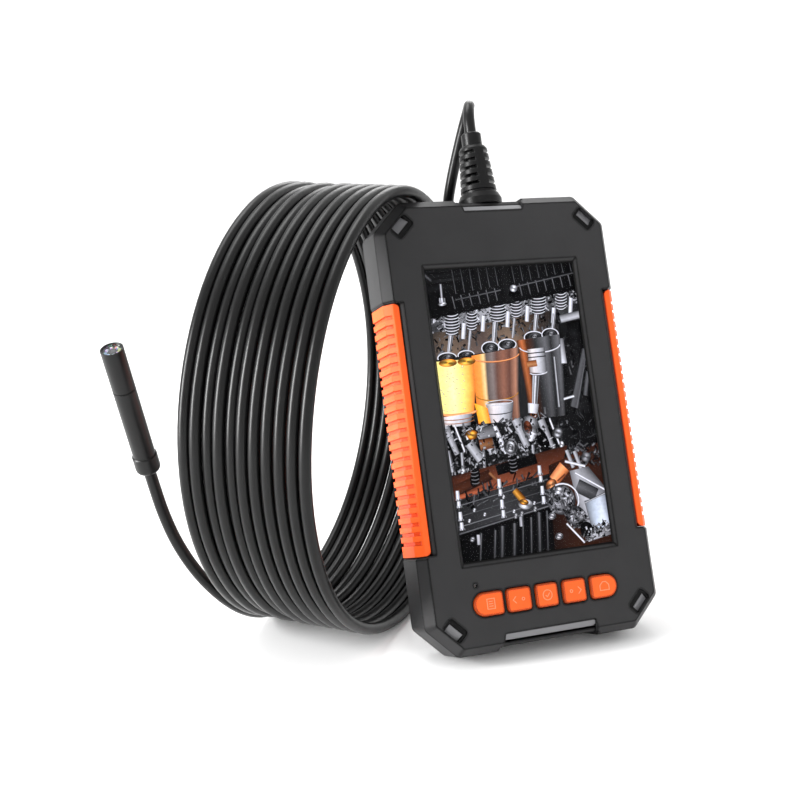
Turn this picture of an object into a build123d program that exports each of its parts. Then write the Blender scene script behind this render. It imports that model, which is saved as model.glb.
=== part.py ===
from build123d import *
import math
import os

# Handheld inspection camera: a leaning handset with a display, five keys and a port door,
# and a coiled camera cable that ends in a probe head.  Millimetres, +Z up.
# The handset is drawn upright in its own frame (x right, y into the handset from its front
# face, z up from the middle of the display window) and then leaned back onto the floor.

# --- handset, driving dimensions ---
half_width = 42.0
top_z = 71.1
bottom_z = -77.0
thickness = 19.2
corner_cut = 10.0
corner_round = 2.5
bevel_width = 2.7
bevel_depth = 3.7
wall = 2.6
seal_inset = 1.6
seal_width = 0.6
seal_depth = 0.75
front_wall = 2.0
parting_y = 15.5
waist_top = 37.4
waist_bottom = -44.0
waist_half = 38.0
waist_face_half = 36.0
waist_step = 0.8
waist_rim = [(35.5, 0.0), (35.95, 0.0), (37.15, 1.15), (37.15, 2.6), (35.5, 2.6)]
grip_pitch = 3.03
grip_grooves = 25
grip_groove_width = 1.2
grip_corner = 2.0
top_lip = (12.4, 66.3, 70.1)
bottom_lip = (18.0, -71.2, -75.8)
top_lip_cut = 1.0
bottom_lip_cut = 1.2
pocket_x = (-5.1, -0.5)
pocket_length = 7.6
pocket_depth = 2.3
pad_x = (-3.3, -0.65)
pad_y = (0.4, 1.55)
pad_length = 5.5
liner_y = 0.35
lean_deg = 21.3
origin_shift = 9.905
fit_gap = 0.15

# --- display window ---
window_width = 56.3
window_height = 98.3
active_width = 53.86
active_height = 95.04
ledge_y = 1.4
gasket_thick = 0.2
lens_thick = 0.5
lens_border = 3.0
display_y = 2.8
display_thick = 2.1
bracket_thick = 0.6

# --- keys ---
key_z = -61.4
key_height = 7.4
key_spans = {
    "menu_key": (-25.8, -15.7),
    "left_key": (-14.3, -5.9),
    "select_key": (-4.0, 3.7),
    "right_key": (5.7, 13.9),
    "back_key": (15.8, 25.4),
}
key_round = {"menu_key": -1, "back_key": 1}
key_proud = 0.7
key_gap = 0.35
key_flange_lap = 0.35
key_flange_y = (2.3, 2.9)
key_stem_radius = 1.4
key_stem_end = 4.3
mat_y = (3.5, 4.5)
mat_hole_radius = 1.8
switch_plunger_y = 4.9
switch_body_y = 5.6
switch_side = 4.5
switch_plunger_radius = 1.1

# --- boards and inner pieces ---
board_y = 8.0
board_thick = 1.2
board_half = 30.0
board_top = 66.0
board_bottom = -71.0
board_notch = (8.5, 57.0)
board_screw_spots = [(-27.6, 52.4), (27.6, 52.4), (-27.6, -54.3), (27.6, -54.3)]
case_screw_spots = [(x, z) for x in (-33.2, 33.2) for z in (54.5, -5.0, -62.0)]
indicator_spot = (-24.3, -55.1)
indicator_radius = 0.7

# --- port door and card ---
port_x = 20.0
port_opening = (12.8, 6.2, 12.8)
door_half = 7.2
door_y = (5.4, 14.5)
door_z = (70.0, 71.2)
hinge_y = 14.5
hinge_z = 70.9
hinge_radius = 1.0
pin_radius = 0.5
card_top = 69.6

# --- strain relief ---
relief_y = 9.6
relief_hole = 5.4
relief_top = 96.0
relief_seat = 70.1
cable_radius = 1.9
bore_gap = 0.03

# --- camera cable and its coil, in the standing frame ---
coil_centre = (-48.3, 23.4, 74.3)
coil_yaw = -43.3
coil_radius = 74.3
coil_layer = 3.8
coil_length = 43.5
top_route = [
    (0.0, 33.91, 163.33),
    (0.0, 35.84, 168.27),
    (1.2, 40.3, 171.3),
    (2.4, 45.6, 171.2),
    (3.2, 49.9, 168.0),
    (3.5, 51.8, 162.2),
    (2.6, 51.0, 154.0),
    (-0.6, 49.9, 142.2),
    (2.3, 51.6, 131.0),
    (6.4, 55.6, 120.4),
]
probe_route = [
    (-70.4, 28.6, 3.0),
    (-78.5, 21.3, 4.6),
    (-87.0, 13.5, 10.0),
    (-95.3, 6.2, 19.4),
    (-102.8, 1.6, 30.6),
    (-109.6, 3.4, 40.6),
    (-115.3, 8.4, 49.5),
    (-117.6, 9.65, 58.3),
    (-119.1, 7.9, 63.8),
]

# --- probe head, along its own axis from the cable end ---
probe_base = (-119.1, 7.9, 63.8)
probe_direction = (-0.244, -0.292, 0.925)
probe_radius = 3.5
probe_wall = 0.55
collar_radius = 3.9
collar_end = 6.5
cap_start = 31.0
probe_end = 45.5
led_count = 8
led_ring = 2.05

cos_lean = math.cos(math.radians(lean_deg))
sin_lean = math.sin(math.radians(lean_deg))
stand_height = -bottom_z * cos_lean + parting_y * sin_lean
STAND = Location((0, -origin_shift, stand_height), (-lean_deg, 0, 0))


def mirrored(points):
    """The right-hand half of an outline, completed with its mirror image."""
    return points + [(-x, z) for x, z in reversed(points)]


def on_front(sketch, y):
    """Places a drawing of x and z at depth y of the handset."""
    return Plane((0, y, 0), x_dir=(1, 0, 0), z_dir=(0, -1, 0)) * sketch


def slab(sketch, y0, y1):
    """A plate between two depths."""
    return extrude(on_front(sketch, y0), amount=y1 - y0, dir=(0, 1, 0))


def polygon(points):
    """A flat face with the given corners, in their own coordinates."""
    return make_face(Polyline(*points, close=True))


def block(x0, x1, y0, y1, z0, z1):
    """A box from its lowest to its highest corner."""
    return Pos((x0 + x1) / 2, (y0 + y1) / 2, (z0 + z1) / 2) * Box(x1 - x0, y1 - y0, z1 - z0)


def rod(x, z, radius, y0, y1):
    """A round bar along the depth of the handset."""
    return slab(Pos(x, z) * Circle(radius), y0, y1)


def post(x, y, radius, z0, z1):
    """A round bar along the height of the handset."""
    return Pos(x, y, (z0 + z1) / 2) * Cylinder(radius, z1 - z0)


def axle(x0, x1, y, z, radius):
    """A round bar along the width of the handset."""
    return Pos((x0 + x1) / 2, y, z) * Rot(0, 90, 0) * Cylinder(radius, x1 - x0)


def rounded(face, radius):
    """A face with its outward corners rounded."""
    corners = [v for v in face.vertices() if v.Y > waist_top + 10 or v.Y < waist_bottom - 10]
    return fillet(corners, radius)


def outer_outline(inset=0.0, waist=waist_half):
    """The handset's side outline, or the same drawn inwards by an inset."""
    cut = corner_cut - inset * (2 - math.sqrt(2))
    side = half_width - inset
    top = top_z - inset
    bottom = bottom_z + inset
    waist_side = waist - inset
    return polygon(mirrored([
        (side - cut, top),
        (side, top - cut),
        (side, waist_top + waist_step + inset),
        (side - waist_step, waist_top + inset),
        (waist_side, waist_top + inset),
        (waist_side, waist_bottom - inset),
        (side - waist_step, waist_bottom - inset),
        (side, waist_bottom - waist_step - inset),
        (side, bottom + cut),
        (side - cut, bottom),
    ]))


def face_outline():
    """The outline of the flat front or back face, inside the bevel."""
    cut = corner_cut - bevel_width * (2 - math.sqrt(2))
    side = half_width - bevel_width
    top = top_z - bevel_width
    bottom = bottom_z + bevel_width
    return polygon(mirrored([
        (side - cut, top),
        (side, top - cut),
        (side, waist_top + waist_step),
        (side - waist_step, waist_top),
        (waist_face_half, waist_top),
        (waist_face_half, waist_bottom),
        (side - waist_step, waist_bottom),
        (side, waist_bottom - waist_step),
        (side, bottom + cut),
        (side - cut, bottom),
    ]))


def bevelled_shell(face_y, full_y):
    """The solid between a flat face and the full outline."""
    face = rounded(face_outline(), corner_round - 1.0)
    full = rounded(outer_outline(), corner_round)
    return loft([on_front(face, face_y), on_front(full, full_y)], ruled=True)


def edge_notch(half_top, z_face, z_out, rise, direction):
    """A slanting facet across an edge of the front, with tapering ends."""
    reach = 3.0 * direction
    low = on_front(polygon([
        (-half_top + 2, z_face), (half_top - 2, z_face),
        (half_top, z_out + reach), (-half_top, z_out + reach),
    ]), -1.0)
    column = extrude(low, amount=bevel_depth + 1.0, dir=(0, 1, 0))
    keep = extrude(Plane.YZ * polygon([
        (-1.0, z_face - direction), (rise, z_out),
        (bevel_depth + 1, z_out), (bevel_depth + 1, z_face - 2 * direction),
        (-1.0, z_face - 2 * direction),
    ]), amount=half_width, both=True)
    return column - keep


def lip_cuts():
    """The shallow steps along the middle of the top and bottom sides."""
    top = block(-top_lip[0], top_lip[0], -1, thickness + 1, top_z - top_lip_cut, top_z + 1)
    bottom = block(-bottom_lip[0], bottom_lip[0], -1, thickness + 1, bottom_z - 1, bottom_z + bottom_lip_cut)
    return top + bottom


def key_sketch(name, grow=0.0):
    """The outline of one key, grown all round by a gap."""
    x0, x1 = key_spans[name]
    height = key_height + 2 * grow
    width = x1 - x0 + 2 * grow
    centre = Pos((x0 + x1) / 2, key_z)
    plain = centre * RectangleRounded(width, height, 1.0 + grow)
    if name not in key_round:
        return plain
    side = key_round[name]
    end_x = (x0 if side < 0 else x1) - side * (height / 2 - grow)
    round_end = Pos(end_x, key_z) * Circle(height / 2)
    inner = Pos(end_x - side * width / 2, key_z) * Rectangle(width, height)
    return plain & (inner + round_end)


def corner_frames():
    """A position at each front corner, with local x out through the corner."""
    frames = []
    edge = face_outline().bounding_box()
    mid = (corner_cut - bevel_width * (2 - math.sqrt(2))) / 2
    for side_x in (-1, 1):
        for z, side_z in ((edge.max.Y - mid, 1), (edge.min.Y + mid, -1)):
            x = side_x * (half_width - bevel_width - mid)
            frames.append((x, z, math.degrees(math.atan2(side_z, side_x))))
    return frames


def pocket_outline(x, z, angle, gap=0.0):
    """The outline of one corner pocket, drawn inwards by a gap."""
    x0, x1 = pocket_x
    size = (x1 - x0 - 2 * gap, pocket_length - 2 * gap)
    return Pos(x, z) * Rot(0, 0, angle) * Pos((x0 + x1) / 2, 0) * RectangleRounded(*size, 1.1 - gap)


def corner_liner(x, z, angle):
    """The black frame of one corner pocket, open towards the corner."""
    x0, x1 = pad_x
    space = Pos(x, z) * Rot(0, 0, angle) * Pos((x0 + x1) / 2 + 0.4, 0) * Rectangle(x1 - x0 + 1.0, pad_length + 0.2)
    return slab(pocket_outline(x, z, angle, 0.05) - space, liner_y, pocket_depth - 0.05)


def corner_pad(x, z, angle):
    """The slanting pad that fills the outer part of one corner pocket."""
    x0, x1 = pad_x
    base = pocket_depth - 0.05
    profile = polygon([(x0, pad_y[0]), (x1, pad_y[1]), (x1, base), (x0, base)])
    bar = extrude(Plane.XY * profile, amount=pad_length / 2, both=True)
    return Pos(x, 0, z) * Rot(0, -angle, 0) * bar


def seal_ring():
    """The outline of the seal's groove in the rim, open at the cable hole."""
    ring = outer_outline(seal_inset) - outer_outline(seal_inset + seal_width)
    return ring - Pos(0, top_z) * Rectangle(2 * relief_hole + 3, 8)


def strain_hole():
    """The round hole for the strain relief, open towards the back cover."""
    hole = post(0, relief_y, relief_hole, 66.0, 74.0)
    slot = block(-relief_hole, relief_hole, relief_y, parting_y + 0.01, 66.0, 74.0)
    return hole + slot


def front_cover():
    """The deep front moulding with its window, key holes, bosses and port opening."""
    full = rounded(outer_outline(), corner_round)
    body = bevelled_shell(0, bevel_depth) + slab(full, bevel_depth, parting_y)
    body -= slab(outer_outline(wall), front_wall, parting_y)
    window = loft([
        on_front(Rectangle(window_width, window_height), 0),
        on_front(Rectangle(active_width, active_height), ledge_y),
    ], ruled=True)
    body -= window
    lens_pocket = Rectangle(active_width + 2 * lens_border, active_height + 2 * lens_border)
    body -= slab(lens_pocket, ledge_y, front_wall)
    for side in (-1, 1):
        rim = extrude(Plane.XY * polygon([(side * x, y) for x, y in waist_rim]), amount=waist_top - waist_bottom)
        body += Pos(0, 0, waist_bottom) * rim
    body -= edge_notch(*top_lip, bevel_depth, 1)
    body -= edge_notch(*bottom_lip, bevel_depth, -1)
    body -= lip_cuts()
    for name in key_spans:
        body -= slab(key_sketch(name, key_gap), -1, front_wall + 1)
    body -= rod(*indicator_spot, indicator_radius, -1, front_wall + 1)
    for x, z in case_screw_spots:
        body += rod(x, z, 2.6, front_wall - 0.2, parting_y)
        body -= rod(x, z, 1.32, 8.5, parting_y)
    for x, z in board_screw_spots:
        body += rod(x, z, 2.0, front_wall - 0.2, board_y)
        body -= rod(x, z, 0.82, 4.4, board_y)
    for frame in corner_frames():
        body += slab(pocket_outline(*frame, gap=-0.9), front_wall - 0.2, pocket_depth + 0.8)
        body -= slab(pocket_outline(*frame), -1.0, pocket_depth)
    body -= strain_hole()
    body -= slab(seal_ring(), parting_y - seal_depth - 0.05, parting_y)
    width, y0, y1 = port_opening
    body -= block(port_x - width / 2, port_x + width / 2, y0, y1, 66, 73)
    body -= block(port_x - door_half - 0.2, port_x + door_half + 0.2, door_y[0] - 0.2, 14.0, 69.85, 73)
    body -= axle(port_x - door_half - 0.2, port_x + door_half + 0.2, hinge_y, hinge_z, 1.25)
    body -= axle(port_x - 9.0, port_x + 9.0, hinge_y, hinge_z, pin_radius + bore_gap)
    return body


def rear_cover():
    """The shallow back lid with its screw tubes and the tongue that closes the cable hole."""
    body = bevelled_shell(thickness, parting_y)
    body -= slab(outer_outline(wall), parting_y, thickness - front_wall)
    tongue = block(-relief_hole + 0.1, relief_hole - 0.1, relief_y, parting_y + 0.5, top_z - wall, relief_seat)
    body += tongue - post(0, relief_y, relief_hole, 66, 74)
    body -= lip_cuts()
    for x, z in case_screw_spots:
        body += rod(x, z, 2.9, parting_y, thickness - 0.5)
        body -= rod(x, z, 1.45, parting_y - 1, thickness + 1)
        body -= rod(x, z, 2.4, 16.4, thickness + 1)
    body -= axle(port_x - door_half - 0.2, port_x + door_half + 0.2, hinge_y, hinge_z, 1.25)
    return body


def grip(side):
    """One ribbed side grip, wrapped over the front and back bevels."""
    section = polygon([
        (37.3, 0.9), (39.4, 0.9), (41.9, 3.9), (41.9, 15.3), (39.4, 18.3), (37.3, 18.3),
        (37.3, 17.0), (38.1, 15.4), (38.1, 3.8), (37.3, 2.2),
    ])
    outer = [v for v in section.vertices() if v.X > 39 or v.Y < 1 or v.Y > 18]
    section = fillet(outer, 0.55)
    low = waist_bottom + fit_gap
    height = waist_top - waist_bottom - 2 * fit_gap
    body = Pos(0, 0, low) * extrude(section, amount=height)
    front = Pos(42.3, low + height / 2) * RectangleRounded(10.0, height, grip_corner)
    body &= slab(front, -1, thickness + 1)
    groove = polygon([
        (39.9, 0.5), (43, 0.5), (43, 18.7), (39.9, 18.7),
        (39.9, 16.6), (41.25, 15.0), (41.25, 4.2), (39.9, 2.6),
    ])
    start = low + (height - (grip_grooves - 1) * grip_pitch - grip_groove_width) / 2
    for i in range(grip_grooves):
        body -= Pos(0, 0, start + i * grip_pitch) * extrude(groove, amount=grip_groove_width)
    return body if side > 0 else mirror(body, Plane.YZ)


def window_gasket():
    """The thin foam frame between the window and the front cover."""
    outer = Rectangle(active_width + 2 * lens_border - 0.4, active_height + 2 * lens_border - 0.4)
    inner = Rectangle(active_width + 0.6, active_height + 0.6)
    return slab(outer - inner, ledge_y, ledge_y + gasket_thick)


def window_lens():
    """The clear window plate."""
    y0 = ledge_y + gasket_thick
    size = (active_width + 2 * lens_border - 0.4, active_height + 2 * lens_border - 0.4)
    return slab(RectangleRounded(*size, 1.0), y0, y0 + lens_thick)


def display_panel():
    """The display behind the window."""
    return slab(Rectangle(active_width + 3.4, active_height + 4.0), display_y, display_y + display_thick)


def display_bracket():
    """The sheet metal frame behind the display, open in the middle."""
    y0 = display_y + display_thick
    plate = Rectangle(active_width + 3.6, active_height + 5.0)
    opening = Rectangle(active_width - 14, 26)
    body = slab(plate - Pos(0, 22) * opening - Pos(0, -22) * opening, y0, y0 + bracket_thick)
    return body


def display_ribbon():
    """The flat flexible ribbon from the display to the board, with one fold."""
    y0 = display_y + display_thick + bracket_thick + 0.05
    across = 0.15
    leg = block(-9, 9, y0, y0 + across, -46, -30)
    bend = block(-9, 9, y0, board_y - 0.05, -30, -30 + across)
    tail = block(-9, 9, board_y - 0.2, board_y - 0.05, -30 + across, -22)
    return leg + bend + tail


def main_board():
    """The circuit board, notched for the camera cable."""
    notch_half, notch_z = board_notch
    sketch = Pos(0, (board_top + board_bottom) / 2) * Rectangle(2 * board_half, board_top - board_bottom)
    sketch -= Pos(0, notch_z + 10) * Rectangle(2 * notch_half, 20)
    body = slab(sketch, board_y, board_y + board_thick)
    for x, z in board_screw_spots:
        body -= rod(x, z, 1.1, board_y - 1, board_y + board_thick + 1)
    return body


def image_processor():
    """The large square chip on the back of the board."""
    back = board_y + board_thick
    return block(-19, -6, back, back + 1.1, 32, 45)


def board_chips():
    """The smaller chips on the back of the board, each its own solid."""
    back = board_y + board_thick
    spots = [(0, 10, 30, 42, 1.0), (14, 21, 34, 41, 1.2), (-22, -15, -58, -53, 0.9), (12, 19, -66, -61, 0.9)]
    return Compound([block(x0, x1, back, back + h, z0, z1) for x0, x1, z0, z1, h in spots])


def key_centre(name):
    """The middle of one key, across the handset."""
    x0, x1 = key_spans[name]
    return (x0 + x1) / 2


def key(name):
    """One key cap with the flange that keeps it in and the stem that reaches its switch."""
    y0, y1 = key_flange_y
    cap = slab(key_sketch(name), -key_proud, y0)
    cap = chamfer(cap.faces().sort_by(Axis.Y)[0].edges(), 0.3)
    flange = slab(key_sketch(name, key_flange_lap + 0.03), y0, y1)
    stem = rod(key_centre(name), key_z, key_stem_radius, y1, key_stem_end)
    return cap + flange + stem


def keypad_mat():
    """The soft sheet behind the keys, with a hole for each stem."""
    sheet = Pos(0, key_z) * RectangleRounded(54.5, 9.5, 1.5)
    for name in key_spans:
        sheet -= Pos(key_centre(name), key_z) * Circle(mat_hole_radius)
    return slab(sheet, *mat_y)


def key_switches():
    """Five push switches on the board, each its own solid."""
    switches = []
    for name in key_spans:
        x = key_centre(name)
        body = slab(Pos(x, key_z) * Rectangle(switch_side, switch_side), switch_body_y, board_y)
        switches.append(body + rod(x, key_z, switch_plunger_radius, switch_plunger_y, switch_body_y))
    return Compound(switches)


def indicator_pipe():
    """The light pipe behind the small hole in the front."""
    x, z = indicator_spot
    return rod(x, z, indicator_radius - 0.05, 0.5, front_wall) + rod(x, z, 1.0, front_wall, 7.1)


def indicator_led():
    """The charge light on the board."""
    x, z = indicator_spot
    return slab(Pos(x, z) * Rectangle(1.6, 0.8), 7.2, board_y)


def usb_socket():
    """The charging socket on the back of the board, with its hollow mouth and tongue."""
    back = board_y + board_thick
    shell = slab(Pos(port_x, 64.8) * Rectangle(8.94, 7.2), back, back + 3.16)
    mouth = Pos(port_x, back + 1.58, 65.9) * Box(8.3, 2.56, 5.2)
    tongue = Pos(port_x, back + 1.58, 65.4) * Box(6.7, 0.7, 4.4)
    return shell - mouth + tongue


def card_socket():
    """The push-push card socket on the front of the board."""
    body = block(port_x - 6.0, port_x + 6.0, 6.4, board_y, 53.9, 68.4)
    return body - block(port_x - 5.6, port_x + 5.6, 6.75, 7.65, 54.3, 70)


def memory_card():
    """The memory card in its socket."""
    half = 5.5
    sketch = polygon([
        (port_x - half, card_top), (port_x + half, card_top), (port_x + half, card_top - 14.0),
        (port_x + half - 1.2, card_top - 14.6), (port_x - half, card_top - 14.6),
    ])
    return slab(sketch, 6.85, 7.55)


def port_cover():
    """The hinged door over the sockets, with its finger lip."""
    x0, x1 = port_x - door_half, port_x + door_half
    plate = block(x0, x1, door_y[0], door_y[1], *door_z)
    barrel = axle(x0, x1, hinge_y, hinge_z, hinge_radius)
    lip = block(port_x - 3, port_x + 3, door_y[0], door_y[0] + 0.8, door_z[1] - 0.2, door_z[1] + 0.4)
    body = plate + barrel + lip
    return body - axle(x0 - 1, x1 + 1, hinge_y, hinge_z, pin_radius + bore_gap)


def hinge_pin():
    """The steel pin of the port door."""
    return axle(port_x - 8.9, port_x + 8.9, hinge_y, hinge_z, pin_radius)


def battery_pack():
    """The flat rechargeable cell."""
    cell = slab(Pos(0, -14) * RectangleRounded(48, 64, 2), 11.0, 16.6)
    return chamfer(cell.edges().filter_by(Axis.Z), 1.2)


def battery_pad():
    """The foam pad that holds the cell against the back cover."""
    return slab(Pos(0, -14) * Rectangle(40, 54), 16.6, thickness - front_wall)


def battery_socket():
    """The battery connector on the board."""
    back = board_y + board_thick
    return block(12, 20, back, back + 3.4, 22, 27)


def battery_lead():
    """The two wires from the cell to its connector, each its own solid."""
    wires = []
    for x in (14.5, 17.5):
        line = FilletPolyline((x, 13.8, 18.0), (x, 13.8, 24.5), (x, board_y + board_thick + 3.4, 24.5), radius=0.5)
        wires.append(sweep(Plane(line @ 0, z_dir=line % 0) * Circle(0.45), path=line))
    return Compound(wires)


def case_seal():
    """The rubber cord in the rim of the front cover, open at the cable hole."""
    return slab(seal_ring(), parting_y - seal_depth, parting_y)


def case_screws():
    """Six screws that hold the back cover, each its own solid."""
    screws = []
    for x, z in case_screw_spots:
        head = rod(x, z, 2.2, 16.4, 17.9)
        socket = slab(Pos(x, z) * RegularPolygon(1.0, 6), 17.1, 18.0)
        screws.append(head + rod(x, z, 1.3, 8.7, 16.4) - socket)
    return Compound(screws)


def board_screws():
    """Four screws that hold the board, each its own solid."""
    back = board_y + board_thick
    screws = []
    for x, z in board_screw_spots:
        head = rod(x, z, 1.7, back, back + 1.1)
        socket = slab(Pos(x, z) * RegularPolygon(0.7, 6), back + 0.6, back + 1.2)
        screws.append(head + rod(x, z, 0.8, 4.8, back) - socket)
    return Compound(screws)


def cable_connector():
    """The plug-in connector of the camera cable, standing on the board below the notch."""
    back = board_y + board_thick
    return block(-4.5, 4.5, back, back + 3.6, 49.5, 57.2)


def relief_profile():
    """The turned outline of the strain relief: radius and height."""
    return [
        (0, 66.2), (7.0, 66.2), (7.0, 68.4), (relief_hole - 0.05, 68.4), (relief_hole - 0.05, relief_seat),
        (7.45, relief_seat), (7.45, 72.4), (6.6, 74.2), (5.6, 74.5), (5.6, 75.3), (6.15, 75.4),
        (4.85, 90.0), (4.2, 91.0), (3.4, 91.4), (3.4, 95.5), (2.9, relief_top), (0, relief_top),
    ]


def strain_relief():
    """The ribbed rubber boot where the cable leaves the handset."""
    profile = polygon(relief_profile())
    body = revolve(Plane.XZ * profile, Axis.Z)
    core = Pos(0, 0, 83) * Cylinder(3.3, 30)
    for i in range(5):
        z = 77.6 + i * 2.75
        for side in (-1, 1):
            slot = Pos(side * 5.2, 0, z) * Box(7.0, 16, 1.25)
            body -= slot - core
    body -= Cylinder(cable_radius + bore_gap, 400)
    return Pos(0, relief_y, 0) * body


def inner_lead():
    """The cable inside the boot and the handset, down to its connector."""
    return post(0, relief_y, cable_radius, 57.2, relief_top)


def corner_turn(before, here, after):
    """The turn of a route at a corner, in radians."""
    arrive = (Vector(*here) - Vector(*before)).normalized()
    leave = (Vector(*after) - Vector(*here)).normalized()
    return math.acos(max(-1.0, min(1.0, arrive.dot(leave))))


def bend_radii(route):
    """The largest arc that each corner of a route allows."""
    radii = []
    for before, here, after in zip(route, route[1:], route[2:]):
        run = min((Vector(*here) - Vector(*before)).length, (Vector(*after) - Vector(*here)).length)
        radii.append(0.45 * run / math.tan(corner_turn(before, here, after) / 2))
    return radii


def cable_tube(route, name):
    """A cable along a route: straight runs joined by arcs."""
    radii = bend_radii(route)
    line = FilletPolyline(*route, radius=radii)
    tube = sweep(Plane(line @ 0, z_dir=line % 0) * Circle(cable_radius), path=line)
    section = math.pi * cable_radius ** 2
    print(name, "radii", [round(r, 1) for r in radii], "length", round(line.length, 1),
          "volume ratio", round(tube.volume / (section * line.length), 4))
    return tube


def cable_coil():
    """The outer shape of the coiled cable, standing on its rim."""
    ring = Cylinder(coil_radius, coil_length) - Cylinder(coil_radius - coil_layer, coil_length + 1)
    return Pos(*coil_centre) * Rot(0, 0, coil_yaw) * Rot(0, 90, 0) * ring


def probe_place():
    """The position of the probe head, with local z along its axis."""
    return Location(Plane(origin=probe_base, z_dir=probe_direction))


def on_probe(z0, z1, radius, bore=0.0):
    """A ring or disc along the probe's axis."""
    body = Pos(0, 0, (z0 + z1) / 2) * Cylinder(radius, z1 - z0)
    if bore > 0:
        body -= Pos(0, 0, (z0 + z1) / 2) * Cylinder(bore, z1 - z0 + 1)
    return body


def probe_collar():
    """The wider rear collar that grips the cable, rounded at its back."""
    body = on_probe(0, collar_end, collar_radius)
    body = fillet(body.edges().sort_by(Axis.Z)[0], 1.6)
    body = chamfer(body.edges().sort_by(Axis.Z)[-1], 0.35)
    return body - on_probe(collar_end - 2.0, collar_end, probe_radius - probe_wall)


def probe_housing():
    """The metal tube of the probe head."""
    tube = on_probe(collar_end, cap_start, probe_radius, probe_radius - probe_wall)
    return tube


def probe_cap():
    """The screwed front cap, with a fine groove where it meets the housing."""
    cap = on_probe(cap_start, probe_end, probe_radius, probe_radius - probe_wall)
    cap = chamfer(cap.edges().filter_by(GeomType.CIRCLE).sort_by(Axis.Z)[-1], 0.2)
    groove = on_probe(cap_start, cap_start + 0.4, probe_radius + 1, probe_radius - 0.2)
    return cap - groove


def probe_parts():
    """The pieces inside the probe head, by name."""
    inner = probe_radius - probe_wall
    leds = [
        Rot(0, 0, 360 / led_count * i) * Pos(led_ring, 0, probe_end - 1.45) * Box(0.8, 0.8, 0.5)
        for i in range(led_count)
    ]
    return {
        "probe_window": on_probe(probe_end - 1.1, probe_end - 0.4, inner),
        "lens_barrel": on_probe(probe_end - 6.5, probe_end - 1.15, 1.25),
        "light_board": on_probe(probe_end - 2.3, probe_end - 1.7, inner - 0.02, 1.3),
        "probe_leds": Compound(leds),
        "sensor_board": on_probe(probe_end - 7.5, probe_end - 6.5, inner - 0.02),
    }


def handset_parts():
    """Every piece of the handset, by name, in the handset's own frame."""
    parts = {
        "front_cover": front_cover(),
        "rear_cover": rear_cover(),
        "left_grip": grip(-1),
        "right_grip": grip(1),
        "corner_pads": Compound([corner_pad(*frame) for frame in corner_frames()]),
        "corner_liners": Compound([corner_liner(*frame) for frame in corner_frames()]),
        "window_gasket": window_gasket(),
        "window_lens": window_lens(),
        "display_panel": display_panel(),
        "display_bracket": display_bracket(),
        "display_ribbon": display_ribbon(),
        "main_board": main_board(),
        "image_processor": image_processor(),
        "board_chips": board_chips(),
        "key_switches": key_switches(),
        "keypad_mat": keypad_mat(),
        "indicator_pipe": indicator_pipe(),
        "indicator_led": indicator_led(),
        "usb_socket": usb_socket(),
        "card_socket": card_socket(),
        "memory_card": memory_card(),
        "port_cover": port_cover(),
        "hinge_pin": hinge_pin(),
        "battery_pack": battery_pack(),
        "battery_pad": battery_pad(),
        "battery_socket": battery_socket(),
        "battery_lead": battery_lead(),
        "case_seal": case_seal(),
        "case_screws": case_screws(),
        "board_screws": board_screws(),
        "cable_connector": cable_connector(),
        "inner_lead": inner_lead(),
        "strain_relief": strain_relief(),
    }
    for name in key_spans:
        parts[name] = key(name)
    return parts


def cord_parts():
    """The free cable, its coil and the probe head, by name, in the standing frame."""
    place = probe_place()
    parts = {
        "cable_top": cable_tube(top_route, "cable_top"),
        "cable_coil": cable_coil(),
        "cable_end": cable_tube(probe_route, "cable_end"),
        "probe_collar": place * probe_collar(),
        "probe_housing": place * probe_housing(),
        "probe_cap": place * probe_cap(),
    }
    for name, shape in probe_parts().items():
        parts[name] = place * shape
    return parts


def main():
    """Builds every piece and writes one file for each."""
    os.makedirs("parts", exist_ok=True)
    parts = {name: STAND * shape for name, shape in handset_parts().items()}
    parts.update(cord_parts())
    for name, shape in parts.items():
        export_step(shape, f"parts/{name}.step")


main()
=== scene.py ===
"""The looks of a handheld inspection camera with a display, side grips and a coiled cable."""
import logging
import math
import random
from collections.abc import Mapping, Sequence
from dataclasses import dataclass
from enum import Enum
from typing import Any

import bmesh
import bpy
from mathutils import Matrix, Vector


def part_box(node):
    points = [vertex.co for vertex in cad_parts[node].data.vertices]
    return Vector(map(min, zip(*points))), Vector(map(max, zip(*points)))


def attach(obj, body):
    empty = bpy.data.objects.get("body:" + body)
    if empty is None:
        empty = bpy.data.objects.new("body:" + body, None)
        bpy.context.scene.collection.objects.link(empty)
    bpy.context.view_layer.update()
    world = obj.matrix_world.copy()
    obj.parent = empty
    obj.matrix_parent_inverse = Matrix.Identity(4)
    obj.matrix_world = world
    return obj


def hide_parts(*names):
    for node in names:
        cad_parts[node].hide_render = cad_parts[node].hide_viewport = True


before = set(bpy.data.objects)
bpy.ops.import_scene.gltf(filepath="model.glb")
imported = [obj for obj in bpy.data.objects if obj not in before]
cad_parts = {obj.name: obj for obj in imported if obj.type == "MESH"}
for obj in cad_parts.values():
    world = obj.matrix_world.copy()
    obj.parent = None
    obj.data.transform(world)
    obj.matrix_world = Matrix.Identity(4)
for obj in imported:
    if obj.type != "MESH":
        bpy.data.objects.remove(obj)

log = logging.getLogger("inspection_camera")

Colour = tuple[float, float, float]
Point = tuple[float, float, float]
Flat = tuple[float, float]

MM = 0.001


# --- materials -------------------------------------------------------------------------------


def linear(colour: Colour) -> Colour:
    """Turns display values from 0 to 1 into scene-linear ones."""
    return tuple(((c + 0.055) / 1.055) ** 2.4 if c > 0.04045 else c / 12.92 for c in colour)


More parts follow.
